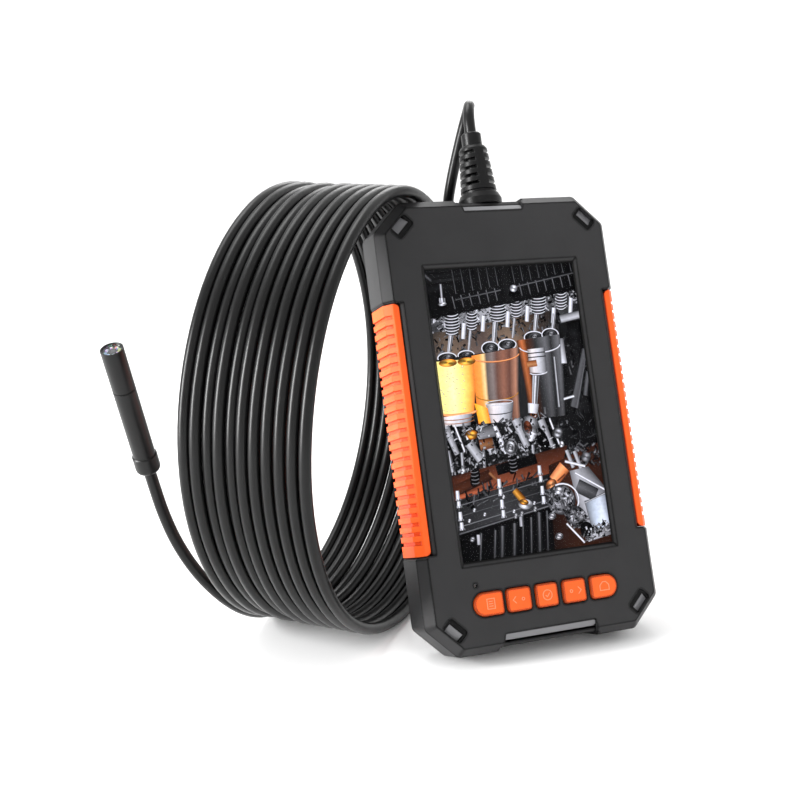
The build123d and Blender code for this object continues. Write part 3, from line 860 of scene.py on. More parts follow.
@dataclass
class Canvas:
    """Flat coloured patches laid over each other just behind the window, in millimetres."""

    depth: float = 2.775
    layer: float = 0.0004
    half_width: float = 28.4
    half_height: float = 49.2
    arc_step: float = 15.0
    disc_steps: int = 20
    disc_light: Flat = (0.8, 0.35)
    disc_light_turn: float = 2.2

    def __post_init__(self) -> None:
        """Starts with nothing drawn."""
        self.points: list[Point] = []
        self.faces: list[tuple[int, ...]] = []
        self.colours: list[Colour] = []

    def _corner(self, place: Flat, colour: Colour) -> int:
        """Adds one coloured corner, kept on the panel, and returns its number.

        Args:
            place: Across and up, in millimetres.
            colour: Its display colour.

        Returns:
            The corner's number.
        """
        x = max(-self.half_width, min(self.half_width, place[0]))
        z = max(-self.half_height, min(self.half_height, place[1]))
        self.points.append((x, self.depth, z))
        self.colours.append(linear(tuple(max(0.0, min(1.0, c)) for c in colour)))
        return len(self.points) - 1

    def _strip(self, rows: Sequence[Sequence[tuple[Flat, Colour]]]) -> None:
        """Joins rows of coloured corners by quads, one layer nearer than the last strip.

        Args:
            rows: Rows of equal length, each a list of places and colours.
        """
        self.depth -= self.layer
        numbers = [[self._corner(place, colour) for place, colour in row] for row in rows]
        for low, high in zip(numbers, numbers[1:]):
            for i in range(len(low) - 1):
                self.faces.append((low[i], low[i + 1], high[i + 1], high[i]))

    def band(self, left: Sequence[Flat], right: Sequence[Flat], tone: Tone, shade: Sequence[float]) -> None:
        """Fills between two edges of equal length, with a tone across and a shade along.

        Args:
            left: Points down one edge.
            right: Points down the other edge.
            tone: Colours from the left edge to the right one.
            shade: Brightness at each pair of points.
        """
        rows = []
        for a, b, dim in zip(left, right, shade):
            row = []
            for share, colour in tone.value:
                place = (a[0] + (b[0] - a[0]) * share, a[1] + (b[1] - a[1]) * share)
                row.append((place, tuple(c * dim for c in colour)))
            rows.append(row)
        self._strip(rows)

    def bar(self, start: Flat, end: Flat, width: float, tone: Tone, end_width: float | None = None,
            shade: tuple[float, float] = (1.0, 1.0)) -> None:
        """Draws a straight bar, with its tone across its width.

        Args:
            start: The middle of one end.
            end: The middle of the other end.
            width: The width.
            tone: Colours across it.
            end_width: The width at the far end, if it differs.
            shade: Brightness at its two ends.
        """
        run = (end[0] - start[0], end[1] - start[1])
        size = math.hypot(*run) or 1.0
        side = (run[1] / size, -run[0] / size)
        left, right = [], []
        for place, wide in ((start, width), (end, end_width or width)):
            left.append((place[0] + side[0] * wide / 2, place[1] + side[1] * wide / 2))
            right.append((place[0] - side[0] * wide / 2, place[1] - side[1] * wide / 2))
        self.band(left, right, tone, shade)

    def arc(self, centre: Flat, radii: Flat, angles: Flat, width: float, tone: Tone,
            dim: float = 1.0) -> None:
        """Draws part of an ellipse as a line of some width, angles in degrees.

        Args:
            centre: The middle.
            radii: Half its width and half its height.
            angles: Where it starts and ends.
            width: The width.
            tone: Colours from its inner edge to its outer one.
            dim: Its brightness.
        """
        count = max(4, int(abs(angles[1] - angles[0]) / self.arc_step))
        inner, outer = [], []
        for i in range(count + 1):
            turn = math.radians(angles[0] + (angles[1] - angles[0]) * i / count)
            for edge, grow in ((inner, -width / 2), (outer, width / 2)):
                x, z = (radii[0] + grow) * math.cos(turn), (radii[1] + grow) * math.sin(turn)
                edge.append((centre[0] + x, centre[1] + z))
        self.band(inner, outer, tone, [dim] * (count + 1))

    def disc(self, centre: Flat, radii: Flat, tone: Tone, turn: float = 0.0, dim: float = 1.0) -> None:
        """Fills an ellipse with its tone from the middle to the rim, brighter at two sides.

        Args:
            centre: The middle.
            radii: Half its width and half its height.
            tone: Colours from the middle to the rim.
            turn: How far it is turned, in degrees.
            dim: Its brightness.
        """
        rows = []
        base, swing = self.disc_light
        cos_turn, sin_turn = math.cos(math.radians(turn)), math.sin(math.radians(turn))
        for i in range(self.disc_steps + 1):
            angle = 2 * math.pi * i / self.disc_steps
            lit = base + swing * math.cos(2 * angle - self.disc_light_turn)
            row = []
            for share, colour in tone.value:
                x, z = radii[0] * share * math.cos(angle), radii[1] * share * math.sin(angle)
                place = (centre[0] + x * cos_turn - z * sin_turn, centre[1] + x * sin_turn + z * cos_turn)
                row.append((place, tuple(c * lit * dim for c in colour)))
            rows.append(row)
        self._strip(rows)

    def glints(self, corner: Flat, size: Flat, count: int, seed: int, slope: float = 0.0,
               light: float = 0.8, length: Flat = (0.5, 2.2)) -> None:
        """Scatters small light and dark facets over a slanting box.

        Args:
            corner: The lower left corner of the box.
            size: The box's width and height.
            count: How many facets.
            seed: The seed of their places.
            slope: How much the box rises with each millimetre across.
            light: Their brightness.
            length: Their least and greatest length.
        """
        chance = random.Random(seed)
        for _ in range(count):
            x = chance.uniform(0, size[0])
            start = (corner[0] + x, corner[1] + chance.uniform(0, size[1]) + x * slope)
            turn = chance.choice((0.2, 0.5, 1.2, 1.7, 2.3)) + chance.uniform(-0.2, 0.2)
            run = chance.uniform(*length)
            end = (start[0] + run * math.cos(turn), start[1] + run * math.sin(turn))
            tone = chance.choice((Tone.BRIGHT, Tone.STEEL, Tone.SHADE, Tone.BLACK, Tone.CHROME))
            dim = light * chance.uniform(0.5, 1.2)
            self.bar(start, end, chance.uniform(0.25, 0.9), tone, chance.uniform(0.2, 1.0), (dim, dim * 0.8))

    def piece(self, name: str, finish: LitPicture) -> bpy.types.Object:
        """Turns everything drawn into one mesh with its colours.

        Args:
            name: The piece's name.
            finish: The lit finish.

        Returns:
            The picture's mesh.
        """
        piece = mesh_piece(name, self.points, self.faces, finish)
        layer = piece.data.color_attributes.new(finish.attribute, "FLOAT_COLOR", "POINT")
        for item, colour in zip(layer.data, self.colours):
            item.color = (*colour, 1.0)
        return piece


@dataclass
class EnginePicture:
    """A made-up cut-away engine, drawn on the display out of simple shapes."""

    slope: float = 0.12
    sparks: int = 70
    spark_seed: int = 11

    def _intake(self, canvas: Canvas) -> None:
        """The dark ribbed cover across the top, with its two bolts.

        Args:
            canvas: What it is drawn on.
        """
        canvas.band([(-28, 49), (-28, 31.6)], [(28, 49), (28, 38.2)], Tone.RUBBER, (0.8, 0.7))
        canvas.band([(-28, 48.5), (-27, 43.4)], [(-9, 48.5), (-9, 44.2)], Tone.SHADE, (0.25, 0.42))
        canvas.bar((-26, 45.6), (-12, 46.4), 2.4, Tone.RUBBER)
        for i in range(16):
            x = -17.5 + 3.1 * i
            low = 33.2 + (x + 28) * self.slope
            canvas.bar((x, low), (x - 0.5, low + 4.2), 0.5, Tone.RIB, shade=(0.9, 1.1))
            canvas.bar((x + 1.0, low + 5.0), (x + 0.6, 48.6), 0.4, Tone.RIB, shade=(0.9, 0.5))
        canvas.bar((-17, 37.5), (4, 40.4), 0.5, Tone.SHADE, shade=(1.0, 1.3))
        canvas.bar((4, 40.4), (28, 44.2), 0.5, Tone.SHADE, shade=(1.3, 1.0))
        canvas.bar((-28, 41.5), (-17, 42.2), 2.8, Tone.RUBBER)
        canvas.bar((1.8, 47.5), (2.6, 36.0), 5.0, Tone.RUBBER)
        canvas.bar((-23.4, 36.4), (-19.6, 36.8), 3.6, Tone.BLACK)
        canvas.bar((-21.4, 43), (-21.6, 38.2), 0.9, Tone.STEEL)
        canvas.bar((-21.6, 38.4), (-21.7, 36.6), 2.2, Tone.CHROME)
        canvas.disc((-21.7, 36.4), (1.5, 0.6), Tone.BRIGHT)
        canvas.disc((4.5, 38.2), (2.2, 1.2), Tone.BLACK)
        canvas.disc((4.5, 40.1), (1.4, 1.2), Tone.BRIGHT)
        canvas.bar((-28, 47.6), (-24.5, 44.4), 1.4, Tone.STEEL, shade=(0.5, 0.35))

    def _springs(self, canvas: Canvas) -> None:
        """The camshaft carrier, valve springs, guides, stems and valve heads.

        Args:
            canvas: What it is drawn on.
        """
        canvas.band([(-28, 31.4), (-28, 16)], [(28, 38.0), (28, 20)], Tone.STEEL, (0.9, 0.75))
        canvas.band([(-28, 27), (-28, 17)], [(20, 32), (20, 18)], Tone.HAZE, (0.5, 0.8))
        canvas.glints((-28, 26.4), (56, 5.6), 420, 3, self.slope, 0.95, (0.4, 1.8))
        canvas.glints((-28, 19.0), (48, 8.0), 150, 4, self.slope, 0.55, (0.6, 2.4))
        for x, z in ((-15.6, 27), (-8.3, 29), (0.8, 29.8), (8.2, 31.2), (17.8, 30), (24.8, 33)):
            canvas.bar((x + 0.6, z + 2.6), (x - 0.5, z - 2.6), 1.5, Tone.BRIGHT)
        for x, z, reach, drop in (
            (-20.6, 26.5, 1.7, 6.2), (-13.6, 27.2, 1.1, 7.0), (-4.3, 29.6, 1.9, 7.4),
            (2.8, 30.0, 1.0, 6.6), (11.2, 31.4, 1.7, 6.6), (17.7, 30.6, 1.3, 6.0),
        ):
            canvas.bar((x + 0.6, z), (x - 1.1, z - drop), reach, Tone.CHROME, reach * 0.8)
        for x, z, radius, coils in (
            (-19.4, 29.4, 2.7, 7), (-12.2, 30.0, 2.0, 6), (-2.4, 32.6, 2.9, 7),
            (4.4, 33.2, 2.0, 6), (12.8, 34.2, 2.9, 7), (21.4, 34.6, 2.1, 6),
        ):
            self._spring(canvas, (x, z), radius, coils)
        for x, z, wide, tall in (
            (-22.6, 18.6, 3.3, 1.7), (-15.8, 19.0, 2.9, 1.5), (-6.9, 20.6, 3.1, 2.2),
            (-0.6, 21.4, 3.2, 1.8), (9.4, 23.2, 3.5, 1.9), (15.6, 23.6, 3.1, 2.1),
        ):
            canvas.disc((x, z), (wide, tall), Tone.STEEL, 8.0, 0.5)
            canvas.arc((x, z), (wide, tall), (0, 360), 0.45, Tone.BRIGHT)
            canvas.disc((x + 0.4, z + 0.2), (wide * 0.45, tall * 0.5), Tone.CHROME, 8.0, 0.7)

    @staticmethod
    def _spring(canvas: Canvas, middle: Flat, radius: float, coils: int) -> None:
        """One coil spring with its dark inside.

        Args:
            canvas: What it is drawn on.
            middle: The spring's middle.
            radius: The spring's radius.
            coils: How many coils it has.
        """
        x, z = middle
        top, low = z + coils / 2, z - coils / 2
        canvas.bar((x + 0.5, top), (x - 0.4, low), radius * 1.7, Tone.SHADE, shade=(0.6, 0.9))
        for i in range(coils):
            wide = radius * (0.72 + 0.28 * math.sin(math.pi * (i + 0.6) / coils))
            place = (x + 0.5 - 0.9 * i / coils, top - i)
            canvas.arc(place, (wide, 0.75), (188, 352), 0.42, Tone.BRIGHT)
            canvas.arc(place, (wide, 0.95), (200, 340), 0.16, Tone.BLACK)

    def _cylinders(self, canvas: Canvas) -> None:
        """Three cylinders: one lit, one in copper light, one polished.

        Args:
            canvas: What it is drawn on.
        """
        canvas.band([(-28, 18), (-28, -3)], [(28, 22), (28, -3)], Tone.SHADE, (0.5, 0.4))
        canvas.band([(3, 22.5), (3.6, 10), (4, -4)], [(19.6, 23.5), (18.6, 10), (17, -5)],
                    Tone.LINER, (1, 0.9, 0.7))
        canvas.arc((11.2, 20.2), (7.6, 2.4), (185, 355), 0.5, Tone.BRIGHT)
        canvas.band([(6.4, 19.2), (6.2, 11.4)], [(12.8, 19.4), (12.4, 10.6)], Tone.PISTON, (1.0, 0.95))
        for z in (17.8, 16.4):
            canvas.bar((6.3, z), (12.8, z + 0.1), 0.35, Tone.BLACK)
        canvas.bar((5.6, 14.2), (9.2, 14.4), 2.2, Tone.ORANGE, shade=(0.75, 0.7))
        canvas.arc((9.4, 11.2), (3.1, 0.7), (180, 360), 0.5, Tone.BRIGHT)
        canvas.bar((8.2, 10.2), (6.2, 0.6), 2.6, Tone.CHROME, 2.0)
        canvas.bar((5.8, 1.0), (5.2, -2.2), 4.0, Tone.BRIGHT, 3.4)
        canvas.bar((16.0, 16), (15.2, -1), 0.9, Tone.STEEL)
        canvas.band([(-14, 18.6), (-14.4, 6), (-14.8, -4)], [(3.4, 20.2), (1.2, 6), (0.4, -4)],
                    Tone.COPPER, (1, 1, 0.85))
        canvas.arc((-5.4, 18.2), (8.6, 2.2), (185, 355), 0.55, Tone.ORANGE)
        canvas.arc((-6.6, 5.4), (7.6, 2.2), (185, 355), 0.4, Tone.BRASS)
        canvas.band([(-11.2, 2.4), (-10.8, -4.6)], [(-1.2, 2.2), (-3.2, -5.2)], Tone.PISTON, (1.0, 0.95))
        canvas.arc((-6.4, 2.4), (4.9, 0.8), (0, 360), 0.3, Tone.BRIGHT)
        canvas.arc((-6.6, -0.6), (4.6, 0.8), (185, 355), 0.35, Tone.SHADE)
        canvas.band([(-15.2, 3), (-14.6, -3.4)], [(-10.8, 1), (-10.2, -4.4)], Tone.FLAME, (1.0, 0.95))
        canvas.band([(-28, 17.6), (-28, 8), (-28, -0.4)], [(-13.4, 17.6), (-14.2, 8), (-15.6, 0.4)],
                    Tone.GLOW, (0.97, 1.03, 0.98))
        chance = random.Random(self.spark_seed)
        for _ in range(self.sparks):
            x, z = chance.uniform(-27.6, -17.6), chance.uniform(1.0, 15.6)
            canvas.disc((x, z), (chance.uniform(0.15, 0.4), chance.uniform(0.12, 0.35)), Tone.SPARK)
        for x in (-22.6, -16.0):
            canvas.disc((x, 16.9), (3.2, 1.3), Tone.FLAME, 0.0, 0.9)
        canvas.arc((-21, 0.6), (6.0, 1.0), (180, 360), 1.2, Tone.ORANGE, 1.1)
        canvas.band([(-28, -0.6), (-27.4, -9)], [(-16.4, -0.2), (-19.4, -9.4)], Tone.PISTON, (1.05, 0.75))
        for z in (-1.6, -2.8):
            canvas.arc((-21.8, z + 0.6), (5.8, 0.9), (180, 350), 0.3, Tone.ORANGE, 0.7)

    def _right_side(self, canvas: Canvas) -> None:
        """The dark hose, belt and bright streaks beside the third cylinder.

        Args:
            canvas: What it is drawn on.
        """
        canvas.band([(19.2, 27), (18, -6)], [(28, 28), (28, -6)], Tone.SHADE, (0.3, 0.35))
        canvas.glints((19, -6), (8, 30), 60, 12, 0.0, 0.32, (0.8, 3.6))
        canvas.bar((20.2, 28.6), (28, 29.8), 2.6, Tone.CASTING)
        canvas.bar((19.6, 22), (19.2, 13.5), 1.4, Tone.BRIGHT, 2.2, (0.5, 0.95))
        canvas.bar((22.2, 25), (28, 25.4), 5.0, Tone.BLACK)
        canvas.disc((24.6, 21.4), (3.0, 4.2), Tone.RUBBER, 20.0)
        canvas.bar((28.4, 17.5), (20.6, -1.6), 3.4, Tone.BELT, 3.0)
        canvas.bar((27.8, 10), (25.4, 2), 1.6, Tone.SHADE, shade=(1.3, 1.2))
        canvas.bar((17.2, 1.5), (21.2, 2.2), 0.8, Tone.BRIGHT)
        canvas.bar((26.4, -6.2), (28.2, -5.8), 0.6, Tone.BRIGHT)

    def _crank(self, canvas: Canvas) -> None:
        """The crankshaft: journals, webs and rods, busy with reflections.

        Args:
            canvas: What it is drawn on.
        """
        canvas.band([(-28, -4), (-28, -22)], [(28, -4), (28, -20)], Tone.RUBBER, (1.2, 0.9))
        canvas.glints((-28, -20), (38, 15), 300, 21, 0.06, 0.8, (0.6, 2.6))
        canvas.glints((8, -18), (20, 13), 90, 22, 0.0, 0.4, (0.6, 3.0))
        for x, z, wide in ((-24.6, -8, 2.6), (-12.0, -9, 4.2), (0.4, -8, 3.4), (9.4, -9, 2.8)):
            canvas.bar((x - 1.4, z + 4.2), (x + 1.6, z - 5.2), wide + 1.4, Tone.BLACK, wide + 0.4)
            canvas.bar((x - 1.8, z + 4.4), (x + 1.0, z - 5.0), wide, Tone.CASTING, wide * 0.7)
            canvas.bar((x + wide * 0.5, z + 4.6), (x + wide * 0.5 + 2.4, z - 4.4), 0.7, Tone.BRIGHT)
        canvas.bar((-15.2, -7.4), (-9.4, -6.4), 4.0, Tone.CASTING, shade=(0.75, 0.6))
        canvas.bar((-15.4, -10.8), (-10.6, -10.4), 3.6, Tone.ORANGE, shade=(0.6, 0.45))
        canvas.disc((-17.8, -7.2), (2.4, 1.6), Tone.BRASS, 0.0, 1.2)
        canvas.bar((-9.2, -5.2), (-6.4, -14.4), 1.5, Tone.BRIGHT)
        canvas.bar((-19.0, -9.8), (-15.6, -15.6), 3.2, Tone.CASTING)
        canvas.disc((3.6, -6.6), (3.2, 3.8), Tone.CASTING, 10.0)
        canvas.disc((2.6, -6.6), (1.5, 2.2), Tone.EARTH, 10.0)
        canvas.bar((4.2, -8.6), (2.8, -11.4), 2.8, Tone.BRIGHT, 1.6)
        canvas.disc((-4.6, -12.4), (2.6, 2.8), Tone.CHROME, 0.0, 0.9)
        canvas.disc((7.6, -12.6), (2.0, 5.4), Tone.BLACK, 12.0)
        canvas.disc((13.2, -9.6), (2.2, 1.9), Tone.STEEL)
        canvas.disc((14.0, -13.6), (0.9, 1.2), Tone.BRIGHT)
        for x in (-22.0, -14.4, 3.4):
            canvas.bar((x, -12.6), (x - 0.4, -18.4), 1.0, Tone.CHROME)
            canvas.disc((x - 0.5, -18.8), (0.9, 0.8), Tone.BRIGHT)
        canvas.bar((-26.6, -11.5), (-26.0, -18.5), 1.6, Tone.STEEL)
        canvas.glints((-27, -19), (38, 14), 190, 23, 0.06, 0.95, (0.3, 1.5))
        canvas.disc((-24.0, -21.2), (1.9, 1.5), Tone.CHROME)

    def _sump(self, canvas: Canvas) -> None:
        """The red-brown tray, the dark housing below it and its bright bolts.

        Args:
            canvas: What it is drawn on.
        """
        canvas.band([(-28, -20), (-27, -28)], [(16, -14), (12, -22)], Tone.EARTH, (0.6, 1.3))
        canvas.bar((-26, -24.6), (-13, -20.6), 3.6, Tone.EARTH, shade=(0.7, 0.5))
        canvas.bar((-26, -27.0), (2, -22.2), 1.6, Tone.EARTH, shade=(1.7, 1.1))
        canvas.bar((-13.4, -20.0), (-9.6, -24.2), 1.1, Tone.ORANGE, shade=(0.6, 0.5))
        canvas.bar((-10.8, -19.6), (4.0, -17.2), 3.4, Tone.BLACK)
        for x, z in ((-18.6, -21.0), (-4.6, -18.4)):
            canvas.disc((x, z), (1.7, 3.2), Tone.BLACK, -20.0)
            for i in range(4):
                canvas.arc((x, z + 2.0 - i * 1.2), (1.3, 0.5), (190, 350), 0.3, Tone.STEEL, 0.8)
        canvas.band([(-28, -28.0), (-28, -39.4)], [(8, -22.6), (8, -32.4)], Tone.SHADE, (0.62, 0.75))
        canvas.glints((-26, -31.5), (30, 4.6), 70, 31, 0.15, 0.42, (0.8, 3.4))
        for drop, dim in ((0.0, 1.4), (3.4, 1.0), (6.6, 1.5), (9.6, 1.3)):
            light = (dim * 0.35, dim * 0.3)
            canvas.bar((-26.5, -29.6 - drop), (7, -24.4 - drop), 0.32, Tone.BRIGHT, shade=light)
        for x, z in ((-25.4, -24.6), (-10.4, -22.4), (4.6, -19.6)):
            for i, run in enumerate((2.6, 1.6, 2.4, 2.0)):
                start = z - i * 3.4
                canvas.bar((x, start), (x - 0.1, start - run), 1.2, Tone.BRIGHT, 1.4)
                canvas.bar((x, start - run), (x, start - run - 0.5), 2.0, Tone.CHROME)
        for x, z in (
            (-20.4, -31.4), (-17.0, -33.2), (-6.6, -33.4), (-22.6, -34.6), (1.0, -31.6), (-9.6, -28.4),
        ):
            canvas.disc((x, z), (0.6, 0.6), Tone.BRIGHT)
        canvas.bar((-5.4, -26.6), (-2.6, -30.6), 2.4, Tone.BRASS, 2.6)
        canvas.disc((-2.2, -31.6), (2.6, 1.7), Tone.BRIGHT, -12.0)
        canvas.disc((-2.6, -30.9), (1.7, 1.0), Tone.BRASS, -12.0, 1.1)

    def _columns(self, canvas: Canvas) -> None:
        """The black columns under the housing.

        Args:
            canvas: What it is drawn on.
        """
        canvas.band([(-28, -38.6), (-28, -49.2)], [(12, -32.0), (12, -49.2)], Tone.BLACK, (1.0, 1.0))
        canvas.bar((-27, -38.4), (8, -32.8), 0.8, Tone.STEEL, shade=(0.5, 0.6))
        for x, top, wide in (
            (-19.6, -39.0, 1.2), (-14.6, -38.6, 1.4), (-12.0, -37.6, 2.4), (-7.6, -37.2, 2.2),
            (-4.4, -36.4, 1.0), (-1.4, -36.0, 1.4), (1.6, -34.8, 2.4), (4.6, -34.6, 1.2),
        ):
            canvas.bar((x + 0.5, top), (x - 1.1, -47.6), wide, Tone.COLUMN, shade=(1.2, 0.75))
        canvas.bar((-20.2, -39.4), (-20.4, -42.6), 1.2, Tone.BRIGHT, shade=(0.9, 0.7))
        canvas.disc((-22.4, -40.6), (1.1, 0.9), Tone.STEEL)
        for x, z in ((-6.2, -35.0), (-4.0, -34.6), (1.0, -33.6)):
            canvas.disc((x, z), (0.8, 0.9), Tone.CHROME)
        canvas.bar((-4.4, -35.4), (-4.6, -38.6), 1.6, Tone.STEEL)

    def _alternator(self, canvas: Canvas) -> None:
        """The copper elbow, the finned housing and the bright pulley at the lower right.

        Args:
            canvas: What it is drawn on.
        """
        canvas.band([(8, -20), (6, -48)], [(28, -14), (28, -48)], Tone.EARTH, (0.55, 0.45))
        canvas.glints((15, -20), (12, 7), 70, 41, -0.2, 0.55, (0.6, 2.4))
        for x, z in ((15.4, -17.0), (18.2, -17.6)):
            canvas.bar((x, z + 1.4), (x + 1.6, z - 4.6), 1.4, Tone.CASTING)
        canvas.bar((14.2, -19.2), (21.4, -21.6), 0.9, Tone.BRIGHT)
        canvas.disc((22.2, -18.6), (1.9, 1.6), Tone.CASTING, 0.0, 0.8)
        canvas.bar((13.8, -21.0), (9.2, -25.2), 4.4, Tone.ORANGE, 4.0)
        canvas.bar((13.6, -23.4), (10.4, -25.4), 0.5, Tone.EARTH)
        canvas.disc((8.0, -26.4), (2.3, 1.7), Tone.ORANGE, 35.0, 0.9)
        canvas.band([(15.4, -22.6), (16.4, -31.6), (19.0, -46.4)], [(22.5, -21.8), (28.2, -30), (28.2, -45)],
                    Tone.CASTING, (0.85, 1.0, 0.9))
        canvas.bar((17.4, -27.6), (24.0, -31.6), 4.6, Tone.SHADE, shade=(1.3, 0.9))
        canvas.band([(19.2, -33.0), (20.6, -43.6)], [(27.4, -31.8), (28.2, -41.4)], Tone.BLUE, (0.95, 1.1))
        canvas.bar((17.4, -23.4), (28.2, -30.6), 0.7, Tone.BRIGHT)
        canvas.bar((19.4, -33.6), (27.6, -31.2), 0.6, Tone.STEEL)
        canvas.disc((10.8, -31.6), (5.4, 5.0), Tone.CASTING, -20.0, 0.75)
        canvas.glints((6.4, -35.6), (8.6, 8.0), 110, 43, 0.0, 0.85, (0.4, 1.8))
        canvas.disc((10.4, -28.6), (1.5, 1.2), Tone.BRIGHT)
        canvas.arc((11.4, -31.8), (5.9, 5.4), (-60, 110), 0.6, Tone.BRIGHT)
        canvas.disc((15.4, -37.6), (4.0, 3.4), Tone.STEEL, -35.0)
        canvas.glints((11.8, -41.0), (6.8, 6.6), 80, 44, -0.2, 0.7, (0.4, 1.8))
        canvas.bar((11.6, -39.6), (17.2, -46.6), 0.7, Tone.BRIGHT)
        canvas.disc((18.6, -42.4), (2.4, 2.6), Tone.BLACK, 10.0)
        canvas.glints((16.2, -47.4), (11.6, 4.4), 120, 45, 0.28, 1.0, (0.4, 1.6))
        for x, z in ((6.6, -36.6), (8.2, -43.4)):
            canvas.disc((x, z), (1.5, 1.1), Tone.CHROME)

    def make(self, finish: LitPicture) -> bpy.types.Object:
        """Draws the whole picture from back to front.

        Args:
            finish: The display's lit finish.

        Returns:
            The picture's mesh.
        """
        canvas = Canvas()
        wide, high = canvas.half_width, canvas.half_height
        canvas.band([(-wide, high), (-wide, -high)], [(wide, high), (wide, -high)], Tone.BLACK, (1.0, 1.0))
        self._springs(canvas)
        self._intake(canvas)
        self._cylinders(canvas)
        self._right_side(canvas)
        self._crank(canvas)
        self._sump(canvas)
        self._columns(canvas)
        self._alternator(canvas)
        piece = canvas.piece("display_picture", finish)
        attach(piece, "handset")
        log.info("display picture: %d faces", len(canvas.faces))
        return piece


# --- the lighter strips on the lips, painted highlights --------------------------------------


@dataclass(frozen=True)
class LipHighlightStrip:
    """A lighter strip with rounded ends on the slanting facet of one lip: a painted highlight standing in for
    the light that the downward-facing facet catches.
    """

    name: str
    half_length: float
    face_z: float
    side_z: float
    side_y: float = 3.7
    start: float = 0.1
    end: float = 0.52
    proud: float = 0.12
    sunk: float = 0.1
    rounding: int = 6

    def _outline(self) -> list[Flat]:
        """The strip's corners: along the lip, and the share of the facet's slope.

        Returns:
            Points once round the strip.
        """
        middle, reach = (self.start + self.end) / 2, (self.end - self.start) / 2
        slope = math.hypot(self.side_y, self.side_z - self.face_z)
        points = []
        for side in (1, -1):
            for i in range(self.rounding + 1):
                turn = math.pi * (i / self.rounding - 0.5)
                x = self.half_length + reach * slope * (math.cos(turn) - 1.0)
                points.append((side * x, middle + side * reach * math.sin(turn)))
        return points

    def make(self, finish: Finish) -> bpy.types.Object:
        """Builds the strip.

        Args:
            finish: What it is finished in.

        Returns:
            The strip's mesh.
        """
        rise = self.side_z - self.face_z
        slope = math.hypot(self.side_y, rise)
        outward = (-abs(rise) / slope, self.side_y / slope * math.copysign(1, self.side_z))
        outline = self._outline()
        points: list[Point] = []
        for lift in (-self.sunk, self.proud):
            for x, share in outline:
                y = self.side_y * share + outward[0] * lift
                points.append((x, y, self.face_z + rise * share + outward[1] * lift))
        count = len(outline)
        faces: list[tuple[int, ...]] = [tuple(range(count)), tuple(reversed(range(count, 2 * count)))]
        faces += [(i, (i + 1) % count, (i + 1) % count + count, i + count) for i in range(count)]
        piece = mesh_piece(self.name, points, faces, finish)
        tidy_normals(piece)
        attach(piece, "handset")
        log.info("%s", self.name.replace("_", " "))
        return piece


# --- the symbols on the keys -----------------------------------------------------------------


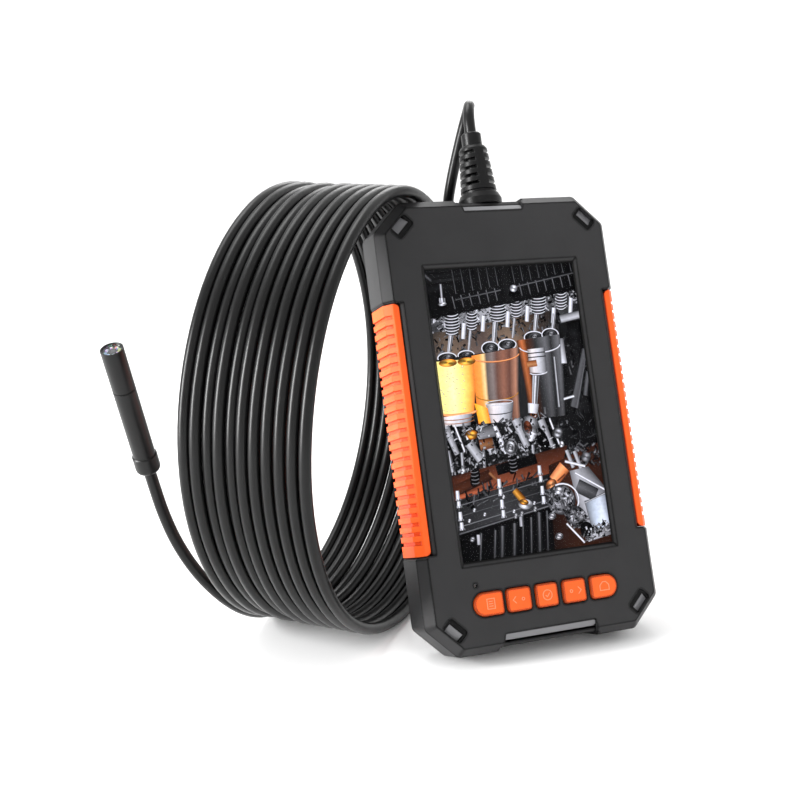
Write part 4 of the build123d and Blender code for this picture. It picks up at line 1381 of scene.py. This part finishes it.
@dataclass
class KeySymbols:
    """Fine raised symbols on the five keys, built as small closed strips."""

    key_z: float = -61.4
    face: float = -0.7
    proud: float = 0.05
    sunk: float = 0.03
    width: float = 0.24
    ring_steps: int = 24
    menu_shift: float = 0.6

    def _strip(self, points: Sequence[Flat], closed: bool) -> tuple[list[Point], list[tuple[int, ...]]]:
        """A raised strip along a line.

        Args:
            points: The line's corners, across and up the handset.
            closed: Whether the line returns to its start.

        Returns:
            The strip's corners and faces.
        """
        count = len(points)
        corners: list[Point] = []
        for i, (x, z) in enumerate(points):
            before = points[i - 1] if closed or i > 0 else points[i]
            after = points[(i + 1) % count] if closed or i < count - 1 else points[i]
            lead, trail = self._direction(before, (x, z)), self._direction((x, z), after)
            way = (lead[0] + trail[0], lead[1] + trail[1])
            size = math.hypot(*way) or 1.0
            side = (-way[1] / size, way[0] / size)
            reach = self.width / 2 / max(0.5, abs(side[0] * -trail[1] + side[1] * trail[0]) or 1.0)
            for sign in (-1, 1):
                for y in (self.face + self.sunk, self.face - self.proud):
                    corners.append((x + side[0] * reach * sign, y, z + side[1] * reach * sign))
        faces: list[tuple[int, ...]] = []
        for i in range(count if closed else count - 1):
            a, b = 4 * i, 4 * ((i + 1) % count)
            for p, q in ((0, 1), (1, 3), (3, 2), (2, 0)):
                faces.append((a + p, a + q, b + q, b + p))
        if not closed:
            end = 4 * (count - 1)
            faces += [(0, 1, 3, 2), (end, end + 2, end + 3, end + 1)]
        return corners, faces

    @staticmethod
    def _direction(start: Flat, end: Flat) -> Flat:
        """The unit direction from one point to another, or nothing where they are the same.

        Args:
            start: The first point.
            end: The second point.

        Returns:
            The direction.
        """
        run = (end[0] - start[0], end[1] - start[1])
        size = math.hypot(*run)
        return (run[0] / size, run[1] / size) if size > 0 else (0.0, 0.0)

    def _ring(self, x: float, z: float, radius: float) -> list[Flat]:
        """Points round a circle."""
        turns = [2 * math.pi * i / self.ring_steps for i in range(self.ring_steps)]
        return [(x + radius * math.cos(t), z + radius * math.sin(t)) for t in turns]

    def _lines(self) -> dict[str, list[tuple[list[Flat], bool]]]:
        """The lines of each symbol, from the middle of its key.

        Returns:
            For each key, its lines and whether each one closes.
        """
        list_rows = [([(-0.7, z), (0.7, z)], False) for z in (0.75, 0.0, -0.75)]
        left_arrow = [(-1.2, 1.1), (-2.3, 0.0), (-1.2, -1.1)]
        right_arrow = [(1.2, 1.1), (2.3, 0.0), (1.2, -1.1)]
        house = [(-1.6, -1.3), (-1.6, 0.3), (-0.5, 1.4), (0.7, 1.4), (1.7, 0.3), (1.7, -1.3)]
        return {
            "menu_key": [([(-1.3, 1.6), (1.3, 1.6), (1.3, -1.6), (-1.3, -1.6)], True), *list_rows],
            "left_key": [(left_arrow, False), (self._ring(1.3, 0.0, 0.45), True)],
            "select_key": [
                (self._ring(0.0, 0.0, 1.6), True),
                ([(-0.7, 0.0), (-0.15, -0.6), (0.8, 0.6)], False),
            ],
            "right_key": [(right_arrow, False), (self._ring(-1.3, 0.0, 0.45), True)],
            "back_key": [(house, True)],
        }

    def make(self, finish: Finish) -> list[bpy.types.Object]:
        """Builds one symbol on each key, riding with it.

        Args:
            finish: What the symbols are finished in.

        Returns:
            The five symbols.
        """
        pieces = []
        to_handset = STAND.inverted()
        for key, lines in self._lines().items():
            low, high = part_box(key)
            shift = self.menu_shift if key == "menu_key" else 0.0
            centre = (to_handset @ ((low + high) / 2)).x + shift
            points: list[Point] = []
            faces: list[tuple[int, ...]] = []
            for line, closed in lines:
                corners, sides = self._strip([(x + centre, z + self.key_z) for x, z in line], closed)
                faces += [tuple(n + len(points) for n in side) for side in sides]
                points += corners
            piece = mesh_piece(key.replace("_key", "_symbol"), points, faces, finish)
            tidy_normals(piece)
            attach(piece, key)
            pieces.append(piece)
            log.info("symbol on the %s", key.replace("_", " "))
        return pieces


# --- finishes of the carried-over pieces -----------------------------------------------------


@dataclass(frozen=True)
class Wardrobe:
    """Which finish each piece of the model wears."""

    def table(self) -> dict[Finish, tuple[str, ...]]:
        """The finishes and the nodes that wear them.

        Returns:
            For each finish, the names of its nodes.
        """
        return {
            # line= sets the painted edge shade, dark lines along the shell's edges
            Moulded("shell_plastic", (0.205, 0.204, 0.207), 0.42, line=1.0, shine=0.1): (
                "front_cover", "rear_cover",
            ),
            SoftGrip("grip_rubber", (1.0, 0.38, 0.13)): ("left_grip", "right_grip"),
            Moulded("pad_plastic", (0.42, 0.42, 0.43), 0.35): ("corner_pads",),
            Moulded("liner_plastic", (0.03, 0.03, 0.031), 0.3, shine=0.12): ("corner_liners",),
            Moulded("seal_rubber", (0.12, 0.12, 0.12), 0.8): (
                "window_gasket", "keypad_mat", "battery_pad", "case_seal",
            ),
            Glazing("window_glass", (0.98, 0.985, 0.98), 1.06, 0.2): ("window_lens",),
            Moulded("display_film", (0.05, 0.05, 0.055), 0.2): ("display_panel",),
            Metal("bracket_sheet", (0.72, 0.73, 0.74), 0.35): ("display_bracket",),
            Ribbon("display_film_ribbon", (0.5, 0.26, 0.08)): ("display_ribbon",),
            Circuit("solder_mask", (0.03, 0.26, 0.13)): ("main_board", "light_board", "sensor_board"),
            Moulded("chip_resin", (0.1, 0.1, 0.105), 0.5): ("image_processor", "board_chips", "memory_card"),
            Moulded("switch_plastic", (0.16, 0.16, 0.17), 0.45): ("key_switches",),
            Glazing("clear_acrylic", (0.95, 0.96, 0.97), 1.49): ("indicator_pipe", "probe_window"),
            Lamp("charge_light", (0.9, 0.3, 0.2), 0.0): ("indicator_led",),
            Lamp("ring_lights", (0.95, 0.9, 0.7), 0.7): ("probe_leds",),
            Metal("plated_socket", (0.78, 0.78, 0.8), 0.22): ("usb_socket", "card_socket"),
            SoftRubberBoot("boot_rubber", (0.03, 0.03, 0.032)): ("strain_relief", "port_cover"),
            Metal("plain_steel", (0.66, 0.66, 0.67), 0.28): ("hinge_pin", "case_screws", "board_screws"),
            Foil("cell_foil", (0.7, 0.71, 0.74)): ("battery_pack",),
            Moulded("natural_nylon", (0.9, 0.88, 0.82), 0.4): ("battery_socket", "cable_connector"),
            Jacket("red_wire", (0.7, 0.08, 0.06)): ("battery_lead",),
            Jacket("cable_jacket", (0.024, 0.024, 0.025)): (
                "inner_lead", "cable_top", "cable_coil", "cable_end",
            ),
            Metal("black_anodising", (0.022, 0.022, 0.023), 0.34, 0.0, shine=0.3): (
                "probe_collar", "probe_housing", "probe_cap", "lens_barrel",
            ),
            # line= sets the painted edge shade, dark lines along the keys' edges
            Moulded("key_plastic", (1.0, 0.39, 0.145), 0.42, line=0.8, rounding=0.2, shine=0.2): (
                "menu_key", "left_key", "select_key", "right_key", "back_key",
            ),
        }

    def dress(self) -> None:
        """Gives every node of the model its finish."""
        for finish, nodes in self.table().items():
            for node in nodes:
                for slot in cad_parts[node].material_slots:
                    slot.material = finish.material()
            log.info("%s on %s", finish.name, ", ".join(nodes))


# --- studio ----------------------------------------------------------------------------------


@dataclass(frozen=True)
class SoftBox:
    """One rectangular studio light aimed at the object."""

    name: str
    place: Point
    size: Flat
    power: float
    aim: Point = (-0.03, 0.02, 0.08)

    def make(self) -> None:
        """Adds the light to the scene."""
        lamp = bpy.data.lights.new(self.name, "AREA")
        lamp.shape = "RECTANGLE"
        lamp.size, lamp.size_y = self.size
        lamp.energy = self.power
        light = bpy.data.objects.new(self.name, lamp)
        light.location = self.place
        way = Vector(self.aim) - Vector(self.place)
        light.rotation_euler = way.to_track_quat("-Z", "Y").to_euler()
        bpy.context.scene.collection.objects.link(light)


@dataclass
class Studio:
    """The pale floor, the soft lights and the camera."""

    floor_radius: float = 1.6
    sweep: float = 1.0
    sweep_steps: int = 16
    round_steps: int = 64
    camera_place: Point = (-0.1786, -0.3707, 0.1828)
    camera_right: Point = (0.9355, -0.3532, 0.0)
    camera_forward: Point = (0.342, 0.906, -0.249)
    lens: float = 56.84

    def floor(self) -> None:
        """A round floor that curves up all round."""
        profile = []
        for i in range(self.sweep_steps + 1):
            turn = math.pi / 2 * i / self.sweep_steps
            radius = self.floor_radius + self.sweep * math.sin(turn)
            profile.append((radius, self.sweep * (1 - math.cos(turn))))
        work = bmesh.new()
        count = self.round_steps
        rings = []
        for radius, height in profile:
            ring = []
            for i in range(count):
                turn = 2 * math.pi * i / count
                ring.append(work.verts.new((radius * math.cos(turn), radius * math.sin(turn), height)))
            rings.append(ring)
        work.faces.new(rings[0])
        for low, high in zip(rings, rings[1:]):
            for i in range(count):
                j = (i + 1) % count
                work.faces.new((low[i], high[i], high[j], low[j]))
        for face in work.faces:
            face.smooth = True
        mesh = bpy.data.meshes.new("studio_floor")
        work.to_mesh(mesh)
        work.free()
        mesh.materials.append(Paper("studio_paper", (0.995, 0.995, 0.995)).material())
        floor = bpy.data.objects.new("studio_floor", mesh)
        bpy.context.scene.collection.objects.link(floor)

    def camera(self) -> None:
        """The camera at its viewing angle."""
        right = Vector(self.camera_right).normalized()
        forward = Vector(self.camera_forward).normalized()
        up = right.cross(forward)
        data = bpy.data.cameras.new("camera")
        data.lens = self.lens
        data.sensor_width = 36.0
        data.clip_start = 0.01
        camera = bpy.data.objects.new("camera", data)
        turn = Matrix((right, up, -forward)).transposed().to_4x4()
        camera.matrix_world = Matrix.Translation(self.camera_place) @ turn
        bpy.context.scene.collection.objects.link(camera)
        bpy.context.scene.camera = camera

    def light(self) -> None:
        """Soft boxes and an even pale surround."""
        world = bpy.data.worlds.new("studio")
        world.use_nodes = True
        surround = world.node_tree.nodes["Background"]
        surround.inputs["Color"].default_value = (1.0, 1.0, 1.0, 1.0)
        surround.inputs["Strength"].default_value = 1.0
        bpy.context.scene.world = world
        bpy.context.scene.view_settings.view_transform = "Standard"
        for box in (
            SoftBox("left_box", (-1.2, 0.0, 0.3), (0.3, 0.9), 36.0),
            SoftBox("top_box", (-0.2, 0.5, 1.2), (0.9, 0.6), 7.0),
            SoftBox("back_box", (0.5, 1.1, 0.7), (0.5, 0.4), 2.0),
        ):
            box.make()

    def make(self) -> None:
        """Sets up the whole studio."""
        self.floor()
        self.camera()
        self.light()
        log.info("studio ready")


def corners(box: Sequence[Sequence[float]]) -> list[list[float]]:
    """A box as plain lists of numbers."""
    return [[float(c) for c in corner] for corner in box]


def main() -> None:
    """Builds every piece in order."""
    logging.basicConfig(level=logging.INFO, format="%(message)s")
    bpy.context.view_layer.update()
    Studio().make()
    wardrobe = Wardrobe()
    jacket = next(f for f in wardrobe.table() if f.name == "cable_jacket")
    CameraCable().make(jacket)
    wardrobe.dress()
    EnginePicture().make(LitPicture("display_light", (1.0, 1.0, 1.0), power=1.35))
    # Painted highlight: lighter strips on the downward facets of the lips stand in for the light they catch
    highlight_strip_plastic = Moulded("highlight_strip_plastic", (0.46, 0.46, 0.47), 0.4)
    LipHighlightStrip("top_highlight_strip", 11.2, 66.3, 70.1).make(highlight_strip_plastic)
    LipHighlightStrip("bottom_highlight_strip", 16.6, -71.2, -75.8).make(highlight_strip_plastic)
    KeySymbols().make(Moulded("symbol_plastic", (1.0, 0.62, 0.45), 0.35))


if __name__ == "__main__":
    main()
